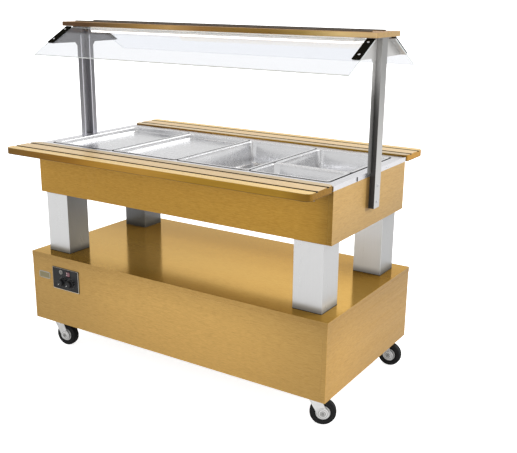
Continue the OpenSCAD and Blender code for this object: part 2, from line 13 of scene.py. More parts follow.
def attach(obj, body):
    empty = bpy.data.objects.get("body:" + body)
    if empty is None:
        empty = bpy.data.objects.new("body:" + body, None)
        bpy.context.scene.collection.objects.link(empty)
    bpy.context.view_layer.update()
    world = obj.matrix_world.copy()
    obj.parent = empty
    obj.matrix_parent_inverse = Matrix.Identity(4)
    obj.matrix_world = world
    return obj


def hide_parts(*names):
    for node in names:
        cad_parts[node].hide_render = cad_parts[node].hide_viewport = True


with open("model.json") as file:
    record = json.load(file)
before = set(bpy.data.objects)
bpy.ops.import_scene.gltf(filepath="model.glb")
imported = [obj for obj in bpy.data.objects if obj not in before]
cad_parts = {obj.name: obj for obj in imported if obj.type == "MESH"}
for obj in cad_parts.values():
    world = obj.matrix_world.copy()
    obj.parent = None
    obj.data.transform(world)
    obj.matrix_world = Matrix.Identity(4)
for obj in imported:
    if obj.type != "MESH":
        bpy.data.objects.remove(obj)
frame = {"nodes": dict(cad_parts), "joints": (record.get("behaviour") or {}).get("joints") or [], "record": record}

NODES = frame["nodes"]
JOINTS = {joint["name"]: joint for joint in frame["joints"]}
SLOT = {part["node"]: part["material_slot"] for part in frame["record"]["subparts"]}
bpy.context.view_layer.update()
COLLECTION = bpy.context.scene.collection

# Mesh sizes are in millimetres, material and light sizes in metres
MM = 0.001
LEFT_RIGHT = ((-1, "left"), (1, "right"))
FRONT_REAR = ((-1, "front"), (1, "rear"))

GROOVE_Y = (357, 434)             # grooves between the tray slide slats, from the centre line
CONTROL_Y = -367                  # face of the control plate
GUARD_TOP = (80.0, 1377.0)        # upper and lower end of a glass guard, (y, z)
GUARD_LOW = (277.5, 1269.0)
GUARD_ANGLE = math.atan2(GUARD_TOP[1] - GUARD_LOW[1], GUARD_LOW[0] - GUARD_TOP[0])

# ------------------------------------------------------------------ node building


def srgb(*display):
    """8-bit display colour to linear RGBA."""
    def linear(value):
        value /= 255.0
        return value / 12.92 if value <= 0.04045 else ((value + 0.055) / 1.055) ** 2.4
    return (*map(linear, display), 1.0)


def scaled(colour, factor):
    return tuple(part * factor for part in colour[:3]) + (1,)


def lifted(colour, factor, offset):
    """A paler version of a colour, no brighter than white."""
    return tuple(min(1.0, part * factor + offset) for part in colour[:3]) + (1,)


def stretched(axis, along, across):
    """Noise scale with one value along an axis and another across it."""
    return tuple(along if letter == axis else across for letter in "XYZ")


def operator(kind, swapped=False):
    def apply(signal, other=0.0):
        first, second = (other, signal) if swapped else (signal, other)
        return signal.mat.math(kind, first, second)
    return apply


class Signal:
    """A node output; each arithmetic step or comparison on it adds a Math node."""

    def __init__(self, mat, socket):
        self.mat = mat
        self.socket = socket

    __add__ = operator("ADD")
    __radd__ = operator("ADD", swapped=True)
    __sub__ = operator("SUBTRACT")
    __rsub__ = operator("SUBTRACT", swapped=True)
    __mul__ = operator("MULTIPLY")
    __gt__ = operator("GREATER_THAN")
    __lt__ = operator("LESS_THAN")
    __abs__ = operator("ABSOLUTE")


MATERIALS = {}


class Mat:
    """A material with one Principled shader, and short ways to add nodes in front of it."""

    def __init__(self, name):
        material = bpy.data.materials.new(name)
        material.use_nodes = True
        self.tree = material.node_tree
        self.tree.nodes.clear()
        self.output = self.add("ShaderNodeOutputMaterial")
        self.shader = self.add("ShaderNodeBsdfPrincipled")
        self.tree.links.new(self.shader.outputs[0], self.output.inputs[0])
        MATERIALS[name] = material

    def add(self, kind):
        return self.tree.nodes.new(kind)

    def put(self, socket, value):
        if isinstance(value, Signal):
            self.tree.links.new(value.socket, socket)
        else:
            socket.default_value = value

    def set(self, **inputs):
        """Set or link Principled inputs, written with _ for a space."""
        for name, value in inputs.items():
            self.put(self.shader.inputs[name.replace("_", " ")], value)

    def source(self, kind):
        """Outputs of a new node, by name."""
        return {socket.name: Signal(self, socket) for socket in self.add(kind).outputs}

    def coord(self, which="Object"):
        return self.source("ShaderNodeTexCoord")[which]

    def normal(self, axis):
        return self.split(self.coord("Normal"))["XYZ".index(axis)]

    def ray(self, which):
        return self.source("ShaderNodeLightPath")[which]

    def math(self, kind, first, second=0.0):
        node = self.add("ShaderNodeMath")
        node.operation = kind
        self.put(node.inputs[0], first)
        self.put(node.inputs[1], second)
        return Signal(self, node.outputs[0])

    def vector(self, kind, first, second):
        node = self.add("ShaderNodeVectorMath")
        node.operation = kind
        self.put(node.inputs[0], first)
        self.put(node.inputs[1], second)
        return Signal(self, node.outputs["Value" if kind == "DOT_PRODUCT" else 0])

    def split(self, vector):
        node = self.add("ShaderNodeSeparateXYZ")
        self.put(node.inputs[0], vector)
        return [Signal(self, socket) for socket in node.outputs]

    def join(self, *parts):
        node = self.add("ShaderNodeCombineXYZ")
        for socket, part in zip(node.inputs, parts):
            self.put(socket, part)
        return Signal(self, node.outputs[0])

    def grey(self, level):
        return self.join(level, level, level)

    def noise(self, place, scale, detail, rough, distort=0.0, output="Fac"):
        if not isinstance(scale, tuple):
            scale = (scale, scale, scale)
        node = self.add("ShaderNodeTexNoise")
        self.put(node.inputs["Vector"], self.vector("MULTIPLY", place, scale))
        node.inputs["Scale"].default_value = 1.0
        node.inputs["Detail"].default_value = detail
        node.inputs["Roughness"].default_value = rough
        node.inputs["Distortion"].default_value = distort
        return Signal(self, node.outputs[output])

    def ramp(self, factor, stops, interpolation="LINEAR"):
        """Colour ramp; stops are (position, colour)."""
        node = self.add("ShaderNodeValToRGB")
        node.color_ramp.interpolation = interpolation
        elements = node.color_ramp.elements
        while len(elements) < len(stops):
            elements.new(0.5)
        for element, (position, colour) in zip(elements, stops):
            element.position = position
            element.color = colour if len(colour) == 4 else (*colour, 1)
        self.put(node.inputs[0], factor)
        return Signal(self, node.outputs["Color"])

    def ramp_between(self, value, stops, interpolation="LINEAR"):
        """Colour ramp whose stops are placed in the value's own units."""
        start, end = stops[0][0], stops[-1][0]
        stops = [((place - start) / (end - start), colour) for place, colour in stops]
        return self.ramp(self.remap(value, (start, end)), stops, interpolation)

    def remap(self, value, span, onto=(0.0, 1.0), smooth=False):
        """Map one span of values onto another, held at its ends."""
        node = self.add("ShaderNodeMapRange")
        if smooth:
            node.interpolation_type = "SMOOTHSTEP"
        self.put(node.inputs[0], value)
        for i, limit in enumerate((*span, *onto)):
            node.inputs[i + 1].default_value = limit
        return Signal(self, node.outputs[0])

    def mix(self, factor, first, second, mode="MIX"):
        node = self.add("ShaderNodeMix")
        node.data_type = "RGBA"
        node.blend_type = mode
        self.put(node.inputs["Factor"], factor)
        self.put(node.inputs[6], first)
        self.put(node.inputs[7], second)
        return Signal(self, node.outputs[2])

    def times(self, colour, factor):
        return self.mix(1.0, colour, factor, "MULTIPLY")

    def bump(self, height, strength, distance):
        node = self.add("ShaderNodeBump")
        node.inputs["Strength"].default_value = strength
        node.inputs["Distance"].default_value = distance
        self.put(node.inputs["Height"], height)
        self.set(Normal=Signal(self, node.outputs[0]))

    def edge_mask(self, radius):
        """0 on flats, up to 1 on edges."""
        bevel = self.add("ShaderNodeBevel")
        bevel.samples = 4
        bevel.inputs["Radius"].default_value = radius
        normal = self.source("ShaderNodeNewGeometry")["Normal"]
        likeness = self.vector("DOT_PRODUCT", Signal(self, bevel.outputs[0]), normal)
        return self.remap(likeness, (0.999, 0.93))


# ------------------------------------------------------------------ wood


def slat_tints(mat, colour, away, y, z, grooves):
    """Darkened grooves, painted shade along the underside, a greyer inner slat and a more golden outer one."""
    near = [abs(abs(y) - groove) < 0.0074 for groove in grooves]
    darkened_grooves = mat.math("MAXIMUM", *near) * ((z < 0.9126) * (z > 0.9086))
    colour = mat.mix(darkened_grooves, colour, (0.030, 0.019, 0.011, 1))
    # painted shade along the underside of the slides
    colour = mat.times(colour, mat.grey(mat.remap(z, (0.8865, 0.8905), (0.42, 1.0))))
    inner = away < grooves[0]
    outer = away > grooves[1]
    top_face = mat.remap(mat.normal("Z"), (0.5, 0.9))
    for slat, tint in ((inner, (0.78, 0.83, 0.98, 1)), (outer, (1.06, 1.02, 0.76, 1))):
        colour = mat.mix(slat * top_face, colour, mat.times(colour, tint))
    return colour, darkened_grooves


def post_cast(mat, colour, x, y, z):
    """Narrow soft shade on the right panel, beside a post that stands off it."""
    shade = mat.remap(y, (-0.056, -0.044), smooth=True) * mat.remap(y, (-0.024, 0.0), (1.0, 0.0))
    shade = shade * mat.remap(z, (0.756, 0.766), smooth=True)
    shade = shade * (x > 0.5)
    return mat.mix(shade, colour, mat.times(colour, scaled((1.0, 0.93, 0.8), 0.52)))


def wood(name, display, spread, *, axis="X", weights=(0.22, 0.30, 0.48), grain=(7, 420),
         contrast=1.0, rough=(0.34, 0.5), metallic=0.0, spec, coat, coat_rough, grooves=None,
         endgrain=None, flank=None, shade=(), gain=1.0, beside_post=False, bounce=0.0,
         upright=None):
    """Lacquered wood: broad figure, growth lines, fine grain and short pores along one axis.

    display, spread: middle 8-bit colour and how far the light and dark tones lie from it
    weights: shares of figure, growth lines and fine grain; grain: scale along and across
    rough: roughness of pale and of dark growth lines
    grooves: y of the grooves that divide the board into slats
    endgrain, flank: colour of the ends, and of the side faces as (x, colour) stops; the side colours are partly
    the wood's own and partly painted light and shade
    shade: painted light and shade, a slow change of tone as (axis, ((position, factor), ...))
    bounce: how neutral the board's light on other pieces is
    upright: share of the sheen left on upright faces
    """
    red, green, blue = display
    light = srgb(*(min(255, part) for part in (red + spread, green + spread, blue + spread * 0.8)))
    dark = srgb(red - spread * 1.3, green - spread * 1.4, max(0, blue - spread * 1.2))

    mat = Mat(name)
    place = mat.coord()
    x, y, z = mat.split(place)
    random = mat.source("ShaderNodeObjectInfo")["Random"]
    offset = random * 7.3
    if grooves:
        # number the slats, so that each has its own grain and tone
        away = abs(y)
        rear = y > 0.0
        number = (away > grooves[0]) + (away > grooves[1]) + rear * 3.0
        offset = offset + number * 1.37
        tone = mat.math("FRACT", (number + 1.0) * 0.618) - 0.5
    else:
        tone = random - 0.5
    place = mat.vector("ADD", place, mat.join(offset * 0.9, offset, offset * 1.7))

    # gentle wander of the grain
    warp = mat.noise(place, 1.6, detail=2.0, rough=0.5, output="Color")
    warp = mat.vector("SUBTRACT", warp, (0.5, 0.5, 0.5))
    place = mat.vector("ADD", place, mat.vector("MULTIPLY", warp, (0.02, 0.02, 0.02)))
    figure = mat.noise(place, stretched(axis, 0.9, 11), detail=2.0, rough=0.5, distort=0.6)
    lines = mat.noise(place, stretched(axis, 1.6, 85), detail=3.0, rough=0.6, distort=0.3)
    fine = mat.noise(place, stretched(axis, *grain), detail=3.0, rough=0.65)
    pores = mat.noise(place, stretched(axis, 22, 950), detail=1.0, rough=0.5)
    pattern = figure * weights[0] + lines * weights[1] + fine * weights[2] + tone * 0.10
    reach = 0.17 / contrast
    pattern = mat.remap(pattern, (0.5 - reach, 0.5 + reach))
    colour = mat.ramp(pattern, [(0.0, dark), (0.5, srgb(*display)), (1.0, light)])
    colour = mat.mix(mat.remap(pores, (0.60, 0.72), (0.0, 0.30)), colour, scaled(dark, 0.45))

    if endgrain:
        rings = mat.noise(place, 260, detail=2.0, rough=0.6, distort=0.5)
        end_colour = mat.ramp(mat.remap(rings, (0.35, 0.65)),
                              [(0, scaled(endgrain, 0.7)), (1, endgrain)])
        # painted light: the rear slide's ends are a lighter copy
        if grooves:
            end_colour = mat.mix(rear, end_colour, mat.times(end_colour, (1.75, 1.75, 2.0, 1)))

        def with_ends(under):
            return mat.mix(mat.remap(abs(mat.normal(axis)), (0.75, 0.9)), under, end_colour)

        # everything that isn't a top face takes the flank colour with its painted light and shade, and the ends go
        # over it
        colour = with_ends(colour)
        side_face = mat.remap(abs(mat.normal("Z")), (0.35, 0.85), (1.0, 0.0))
        streaks = mat.grey(mat.remap(pattern, (0.0, 1.0), (0.84, 1.14)))
        side_colour = mat.times(mat.ramp_between(x, flank), streaks)
        colour = with_ends(mat.mix(side_face, colour, side_colour))
    if grooves:
        colour, darkened_grooves = slat_tints(mat, colour, away, y, z, grooves)
    # painted light and shade along each listed axis
    for letter, stops in shade:
        stops = [(at, level if isinstance(level, tuple) else (level, level, level))
                 for at, level in stops]
        curve = "B_SPLINE" if len(stops) > 3 else "LINEAR"
        position = (x, y, z)["XYZ".index(letter)]
        colour = mat.times(colour, mat.ramp_between(position, stops, curve))
    if gain != 1.0:
        colour = mat.times(colour, (gain, gain, gain, 1))
    if beside_post:
        colour = post_cast(mat, colour, x, y, z)

    blotches = mat.noise(place, 9, detail=3.0, rough=0.6)
    # lighter edges, partly wear and partly painted highlight
    bright_edges = mat.edge_mask(radius=0.0025) * mat.remap(blotches, (0.42, 0.62), (0.03, 0.28))
    if grooves:
        bright_edges = bright_edges * (1.0 - darkened_grooves)
        bright_edges = bright_edges * mat.remap(z, (0.900, 0.910))
    colour = mat.mix(bright_edges, colour, lifted(light, 1.5, 0.03))
    if bounce:
        # light thrown onto the steel next to it is more neutral than the board itself
        indirect = 1.0 - mat.ray("Is Camera Ray")
        luminance = mat.vector("DOT_PRODUCT", colour, (0.30, 0.55, 0.15))
        colour = mat.mix(indirect * bounce, colour, mat.grey(luminance))

    smears = mat.noise(place, 5, detail=4.0, rough=0.65)
    mat.set(Base_Color=colour, Roughness=mat.remap(lines, (0.3, 0.7), (rough[1], rough[0])),
            Metallic=metallic, Specular_IOR_Level=spec, Coat_Weight=coat, Coat_IOR=1.5,
            Coat_Roughness=mat.remap(smears, (0.3, 0.7), (coat_rough * 0.7, coat_rough * 1.5)))
    if upright is not None:
        sheen = mat.remap(mat.normal("Z"), (0.35, 0.85), (upright, 1.0))
        mat.set(Coat_Weight=sheen * coat, Specular_IOR_Level=sheen * spec)
    mat.bump(fine * 0.6 + pores * -0.5, strength=0.16, distance=0.0004)
    return mat


VENEER_GRAIN = dict(weights=(0.14, 0.08, 0.78), grain=(45, 330))
SATIN = dict(**VENEER_GRAIN, metallic=0.30, coat=0.10, coat_rough=0.2, spec=0.15,
             rough=(0.28, 0.42), bounce=0.7)

# One veneer in lit and shaded copies: their colours and gains are painted brightness, and their shade ramps are
# painted light and shade
wood("veneer", (205, 163, 92), spread=9, gain=1.11, **SATIN, shade=[
    ("X", ((-0.73, 0.72), (-0.56, 0.76), (-0.42, 0.82), (-0.28, 0.92), (0.0, 1.0),
           (0.28, 0.98), (0.42, 0.94), (0.56, 0.83), (0.73, 0.68))),
    ("Z", ((0.125, 1.0), (0.20, 1.0), (0.28, 1.0), (0.36, 0.98), (0.435, 0.78)))])
# plate shelf: a lit copy; its ramps are painted reflections and painted shade under the upper cabinet
shelf = wood("veneer_shelf", (240, 190, 98), spread=7, **VENEER_GRAIN, metallic=0.62, coat=0.03,
             coat_rough=0.08, spec=0.2, rough=(0.10, 0.15), bounce=0.8, shade=[
    ("Y", ((-0.364, (0.76, 0.72, 0.56)), (-0.335, (0.80, 0.76, 0.60)),
           (-0.295, (0.88, 0.86, 0.76)), (-0.24, (1.04, 1.07, 1.12)),
           (-0.05, (0.97, 0.97, 0.95)), (0.10, (0.84, 0.79, 0.62)),
           (0.22, (0.58, 0.49, 0.26)), (0.364, (0.70, 0.66, 0.50)))),
    ("X", ((-0.73, 0.80), (-0.20, 0.86), (0.25, 1.0), (0.40, 1.03), (0.60, 1.08), (0.73, 1.0)))])
shelf.set(Specular_Tint=(1.0, 0.89, 0.60, 1))
# upper cabinet: a shaded copy, darker towards its right end, with a painted shadow of the trays at the top
wood("veneer_upper", (191, 145, 57), spread=9, gain=1.06, **SATIN, shade=[
    ("X", ((-0.705, 0.90), (-0.45, 0.92), (0.0, 0.96), (0.35, 1.0), (0.56, 1.0), (0.64, 0.88),
           (0.68, 0.66), (0.705, 0.48))),
    ("Z", ((0.695, 0.90), (0.78, 1.0), (0.835, 0.95), (0.865, 0.78), (0.888, 0.50)))])
wood("veneer_end", (200, 155, 78), spread=9, axis="Y", **SATIN, shade=[
    ("Y", ((-0.364, 0.94), (-0.25, 1.0), (-0.12, 0.94), (0.05, 0.84), (0.20, 0.79),
           (0.364, 0.76))),
    ("Z", ((0.125, 0.98), (0.19, 0.97), (0.27, 1.0), (0.34, 0.92), (0.435, 0.76)))])
wood("veneer_end_up", (200, 160, 94), spread=9, axis="Y", beside_post=True, **SATIN, shade=[
    ("Y", ((-0.31, 1.0), (-0.1, 0.97), (0.12, 0.95), (0.31, 0.88))),
    ("Z", ((0.695, 0.78), (0.76, 0.90), (0.83, 1.0), (0.888, 1.0)))])
# oak slides: the flank stops are painted shade and light on the slide edges, darker than the tops
wood("oak", (226, 194, 142), spread=14, coat=0.22, coat_rough=0.14, spec=0.15, contrast=1.1,
     weights=(0.20, 0.30, 0.50), upright=0.35, grooves=tuple(y * MM for y in GROOVE_Y),
     endgrain=srgb(158, 116, 44),
     flank=[(-0.72, srgb(118, 86, 34)), (-0.5, srgb(134, 94, 28)), (-0.35, srgb(144, 100, 28)),
            (-0.2, srgb(168, 124, 44)), (0.0, srgb(176, 132, 54)), (0.25, srgb(158, 120, 38)),
            (0.60, srgb(158, 120, 40)), (0.72, srgb(116, 82, 24))])
# canopy board: its shade ramp and flank stops are painted light and shade along its length
wood("canopy_oak", (176, 134, 80), spread=12, coat=0.08, coat_rough=0.16, spec=0.12,
     contrast=1.1, endgrain=srgb(192, 158, 104),
     shade=[("X", ((-0.74, 0.86), (-0.5, 0.72), (0.45, 0.70), (0.60, 1.0), (0.74, 1.0)))],
     flank=[(-0.74, srgb(104, 72, 42)), (-0.6, srgb(98, 66, 34)), (-0.45, srgb(139, 106, 58)),
            (-0.3, srgb(182, 141, 76)), (-0.15, srgb(219, 174, 108)), (0.0, srgb(176, 129, 69)),
            (0.15, srgb(158, 121, 55)), (0.3, srgb(160, 122, 52)), (0.45, srgb(184, 151, 81)),
            (0.6, srgb(228, 195, 133)), (0.72, srgb(214, 180, 128))])

# ------------------------------------------------------------------ steel


def brushing(mat, place, axis):
    """Fine scratches alone, and fine and broad ones together."""
    fine = mat.noise(place, stretched(axis, 6, 900), detail=3.0, rough=0.7)
    broad = mat.noise(place, stretched(axis, 1.2, 160), detail=2.0, rough=0.6)
    return fine, fine * 0.6 + broad * 0.4


def steel(name, base, axis="X", *, rough, streak, metallic=1.0, mottled=0.05, aniso=0.0,
          bump=0.10, faces=(), foot=None):
    """Brushed metal: long scratches along one axis, cloudy handling marks, brighter edges that are partly wear and
    partly painted highlight.

    streak, mottled: strength of the scratches and of the clouds
    faces: painted light and shade on one face, as (normal axis, sign, z span, factor span)
    foot: painted shade at the bottom of a column; glossy rays also see the column near-black, a painted dark
    reflection in other pieces
    """
    mat = Mat(name)
    place = mat.coord()
    scratches, brushed = brushing(mat, place, axis)
    clouds = mat.noise(place, 7, detail=4.0, rough=0.6)
    level = (mat.remap(brushed, (0.3, 0.7), (1.0 - streak, 1.0 + streak * 0.6))
             * mat.remap(clouds, (0.3, 0.7), (1.0 - mottled, 1.0 + mottled * 0.5)))
    colour = mat.times(base, mat.grey(level))
    # painted light and shade on single faces, changing with height
    for normal_axis, sign, heights, factors in faces:
        facing = mat.remap(mat.normal(normal_axis) * sign, (0.6, 0.9))
        factor = mat.remap(mat.split(place)[2], heights, factors)
        colour = mat.times(colour, mat.grey(1.0 + facing * (factor - 1.0)))
    if foot:
        # painted shade at the foot
        tone = mat.remap(mat.split(place)[2], (0.436, 0.468), (foot, 1.0), smooth=True)
        colour = mat.times(colour, mat.grey(tone))
        # painted reflection: glossy rays see the whole column near-black
        colour = mat.mix(mat.ray("Is Glossy Ray") * 0.88, colour, (0.03, 0.022, 0.012, 1))
    # brighter edges, partly wear and partly painted highlight
    colour = mat.mix(mat.edge_mask(radius=0.0015) * 0.35, colour, (0.9, 0.9, 0.9, 1))
    roughness = (mat.remap(brushed, (0.3, 0.7), rough)
                 + mat.remap(clouds, (0.35, 0.65), (-0.03, 0.05)))
    mat.set(Base_Color=colour, Roughness=roughness, Metallic=metallic)
    if aniso:
        tangent = mat.add("ShaderNodeTangent")
        tangent.direction_type = "RADIAL"
        tangent.axis = axis
        mat.set(Tangent=Signal(mat, tangent.outputs[0]), Anisotropic=aniso)
    mat.bump(scratches, strength=bump, distance=0.0002)


def column_steel(name, faces=(), level=0.70, streak=0.035, metallic=0.80, mottled=0.03,
                 foot=0.38):
    steel(name, (level, level, level, 1), "Z", rough=(0.26, 0.38), streak=streak,
          metallic=metallic, mottled=mottled, aniso=0.5, bump=0.04, faces=faces, foot=foot)


def post_steel():
    """Folded post in painted light and shade: bright web, deep channel walls, duller wings, the left one in shade.
    """
    mat = Mat("post_steel")
    place = mat.coord()
    x, y, z = mat.split(place)
    scratches, brushed = brushing(mat, place, "Z")

    def by_height(span, levels):
        return mat.remap(z, span, levels, smooth=True)

    def pick(mask, without, within):
        return (1.0 - mask) * without + mask * within

    # painted light and shade: each face's brightness changes with height
    web = by_height((0.85, 1.35), (0.60, 0.29))
    wall = by_height((1.08, 1.36), (0.085, 0.48))
    wing = by_height((1.16, 1.24), (0.27, 0.55))
    left_wing = by_height((0.80, 1.25), (0.33, 0.15))
    left_web = by_height((0.80, 1.30), (0.36, 0.27))
    bend = abs(abs(y) - 0.0262) < 0.0017
    left = x < 0.0
    is_wing = abs(y) > 0.0246
    is_wall = mat.remap(abs(mat.normal("Y")), (0.75, 0.95))
    level = pick(left, pick(is_wing, web, wing), pick(is_wing, left_web, left_wing))
    # painted highlight along the left post's two bends
    level = pick(bend * (left * (z < 1.34)), level, 0.80)
    level = pick(is_wall, level, pick(left, wall, 0.30))
    level = level * mat.remap(brushed, (0.3, 0.7), (0.93, 1.05))
    colour = mat.join(level, level * 0.99, level * (0.965 + left * 0.10))
    # brighter edges, partly wear and partly painted highlight
    colour = mat.mix(mat.edge_mask(radius=0.0012) * 0.30, colour, (0.75, 0.75, 0.73, 1))
    mat.set(Base_Color=colour, Roughness=mat.remap(brushed, (0.3, 0.7), (0.28, 0.42)),
            Metallic=pick(left, pick(is_wing, 1.0, 0.35), 0.45))
    mat.bump(scratches, strength=0.10, distance=0.0002)


# Lit and shaded copies of one column steel: the face factors and feet are painted light and shade
column_steel("column_steel")
column_steel("column_steel_fl", [("X", 1, (0.45, 0.69), (0.62, 0.26))])
column_steel("column_steel_rr", [("X", 1, (0.43, 0.70), (0.62, 0.64)),
                                 ("Y", -1, (0.43, 0.70), (1.32, 1.36))], metallic=0.55)
column_steel("column_steel_fr", [("X", 1, (0.43, 0.70), (0.84, 0.84))], level=0.71, foot=0.42)
column_steel("column_steel_rl", [("X", 1, (0.43, 0.70), (0.24, 0.24)),
                                 ("Y", -1, (0.43, 0.70), (0.20, 0.20))],
             streak=0.05, metallic=0.85, mottled=0.05, foot=0.5)
post_steel()
steel("well_steel", (0.78, 0.775, 0.80, 1), rough=(0.22, 0.36), streak=0.05)
steel("pan_steel", (0.72, 0.72, 0.73, 1), rough=(0.18, 0.30), streak=0.05, bump=0.05)
# painted shade: the brackets are made dark so that they read as shade under the slides
steel("bracket_steel", (0.16, 0.155, 0.15, 1), "Y", rough=(0.30, 0.44), streak=0.08)

# ------------------------------------------------------------------ coatings, glass and lamps


def coated(name, base, *, rough, grain, bump, wear_to=None, metallic=0.0, coat=0.0, spec=0.5,
           dust=0.04):
    """Powder coat or moulded plastic: fine grain, cloudy sheen, dust, rubbed edges."""
    mat = Mat(name)
    place = mat.coord()
    grains = mat.noise(place, grain, detail=2.0, rough=0.6)
    clouds = mat.noise(place, 14, detail=4.0, rough=0.6)
    colour = mat.times(base, mat.grey(mat.remap(clouds, (0.3, 0.7), (0.86, 1.12))))
    colour = mat.mix(mat.remap(clouds, (0.55, 0.75), (0.0, dust)), colour, (0.45, 0.42, 0.38, 1))
    bright_edges = mat.edge_mask(radius=0.0012) * mat.remap(clouds, (0.4, 0.6), (0.15, 0.6))
    colour = mat.mix(bright_edges, colour, wear_to or lifted(base, 1.8, 0.04))
    mat.set(Base_Color=colour,
            Roughness=mat.remap(grains, (0.3, 0.7), (rough - 0.06, rough + 0.08)),
            Metallic=metallic, Coat_Weight=coat, Specular_IOR_Level=spec)
    mat.bump(grains, strength=bump, distance=0.00012)
    return mat


def glass():
    """Clear pane: sharp reflections, faint smears; shadow and diffuse rays pass through."""
    mat = Mat("glass")
    smears = mat.noise(mat.coord(), (3, 9, 9), detail=4.0, rough=0.6)
    mat.set(Base_Color=(0.925, 0.938, 0.965, 1), Transmission_Weight=1.0, IOR=1.22,
            Roughness=mat.remap(smears, (0.35, 0.75), (0.0, 0.035)))
    clear = mat.add("ShaderNodeBsdfTransparent")
    clear.inputs[0].default_value = (0.93, 0.96, 0.97, 1)
    rays = mat.source("ShaderNodeLightPath")
    blend = mat.add("ShaderNodeMixShader")
    mat.put(blend.inputs[0], mat.math("MAXIMUM", rays["Is Shadow Ray"], rays["Is Diffuse Ray"]))
    mat.tree.links.new(mat.shader.outputs[0], blend.inputs[1])
    mat.tree.links.new(clear.outputs[0], blend.inputs[2])
    mat.tree.links.new(blend.outputs[0], mat.output.inputs[0])


def diffuser():
    """Opal sheet, with brighter stretches along X."""
    mat = Mat("diffuser")
    place = mat.coord()
    clouds = mat.noise(place, 60, detail=3.0, rough=0.5)
    stretch = abs(mat.math("SINE", mat.split(place)[0] * 7.5))
    glow = (mat.remap(stretch, (0.0, 0.35), (0.78, 1.0))
            * mat.remap(clouds, (0.3, 0.7), (0.97, 1.02)))
    mat.set(Base_Color=(0.9, 0.89, 0.86, 1), Roughness=0.5,
            Emission_Color=(1.0, 0.97, 0.90, 1), Emission_Strength=glow * 1.5)
    mat.bump(clouds, strength=0.1, distance=0.0003)


def lens(name, base, *, transmission, glow=0.0):
    mat = Mat(name)
    ripple = mat.noise(mat.coord(), 900, detail=2.0, rough=0.5)
    mat.set(Base_Color=base, Transmission_Weight=transmission, IOR=1.49, Coat_Weight=0.6,
            Coat_Roughness=0.06, Roughness=mat.remap(ripple, (0.3, 0.7), (0.14, 0.24)))
    if glow:
        mat.set(Emission_Color=base, Emission_Strength=glow)
    mat.bump(ripple, strength=0.06, distance=0.0002)


lamp = coated("lamp_white", (0.90, 0.90, 0.885, 1), rough=0.35, grain=1500, bump=0.1, dust=0.0)
# painted light: the white housing glows a little, as if lit by the lamp
lamp.set(Emission_Color=(1.0, 0.99, 0.97, 1), Emission_Strength=0.25)
coated("clamp_black", (0.009, 0.0085, 0.006, 1), rough=0.7, grain=1500, bump=0.3, spec=0.0,
       dust=0.0)
coated("strip_grey", (0.125, 0.108, 0.090, 1), rough=0.55, grain=1500, bump=0.3, spec=0.25)
coated("gap_dark", (0.006, 0.006, 0.006, 1), rough=0.9, grain=1500, bump=0.2, spec=0.0, dust=0.0)
coated("insulation", (0.70, 0.60, 0.26, 1), rough=0.95, grain=500, bump=0.9)
steel("element", (0.22, 0.20, 0.19, 1), rough=(0.40, 0.6), streak=0.2)
steel("brass", (0.66, 0.50, 0.24, 1), "Z", rough=(0.28, 0.44), streak=0.12)
coated("lever_red", (0.52, 0.035, 0.02, 1), rough=0.38, grain=700, bump=0.2, coat=0.4)
coated("black_strip", (0.008, 0.008, 0.008, 1), rough=0.5, grain=1500, bump=0.3, spec=0.3)
coated("groove_dark", (0.020, 0.014, 0.009, 1), rough=0.9, grain=900, bump=0.3, spec=0.0,
       dust=0.0)
coated("control_black", (0.009, 0.009, 0.010, 1), rough=0.40, grain=2200, bump=0.35, spec=0.35)
coated("mark_white", (0.85, 0.84, 0.80, 1), rough=0.5, grain=1800, bump=0.1)
steel("trim_grey", (0.88, 0.80, 0.62, 1), rough=(0.3, 0.42), streak=0.06, metallic=0.4)
steel("trim_shade", (0.26, 0.20, 0.12, 1), rough=(0.3, 0.42), streak=0.06, metallic=0.4)
steel("badge", (0.27, 0.235, 0.13, 1), rough=(0.32, 0.46), streak=0.08, metallic=0.6)
steel("badge_rim", (0.42, 0.41, 0.36, 1), rough=(0.32, 0.46), streak=0.08, metallic=0.7)
coated("hub_dark", (0.30, 0.30, 0.29, 1), rough=0.5, grain=1300, bump=0.15, metallic=0.4,
       dust=0.02)
steel("zinc_box", (0.50, 0.52, 0.54, 1), rough=(0.4, 0.6), streak=0.12, mottled=0.2)
coated("cord_black", (0.02, 0.02, 0.021, 1), rough=0.55, grain=1200, bump=0.3)
coated("castor_zinc", (0.80, 0.80, 0.795, 1), rough=0.36, grain=1300, bump=0.12,
       wear_to=(0.9, 0.9, 0.9, 1), metallic=0.55)
coated("tyre", (0.009, 0.009, 0.0095, 1), rough=0.66, grain=800, bump=0.45,
       wear_to=(0.05, 0.048, 0.045, 1), spec=0.25, dust=0.03)
steel("screw_steel", (0.62, 0.62, 0.64, 1), "Z", rough=(0.16, 0.26), streak=0.04, bump=0.03)
glass()
coated("glass_edge", (0.62, 0.66, 0.66, 1), rough=0.25, grain=900, bump=0.1, coat=0.6)
diffuser()
lens("rocker_red", (0.20, 0.055, 0.075, 1), transmission=0.1, glow=0.02)
lens("pilot_lens", (0.24, 0.22, 0.21, 1), transmission=0.4)

# ------------------------------------------------------------------ CAD pieces: finish and edges

# Pieces whose material isn't the one named by their slot
OVERRIDE = {
    "canopy_board": "canopy_oak",
    "canopy_strips": "strip_grey",
    "glass_clamps": "clamp_black",
    "tray_brackets": "bracket_steel",
    "column_front_left": "column_steel_fl",
    "column_front_right": "column_steel_fr",
    "column_rear_left": "column_steel_rl",
    "column_rear_right": "column_steel_rr",
    "base_top_board": "veneer_shelf",
    "upper_front_panel": "veneer_upper",
    "upper_rear_panel": "veneer_upper",
    "upper_bottom_board": "veneer_upper",
    "upper_left_panel": "veneer_end_up",
    "upper_right_panel": "veneer_end_up",
}
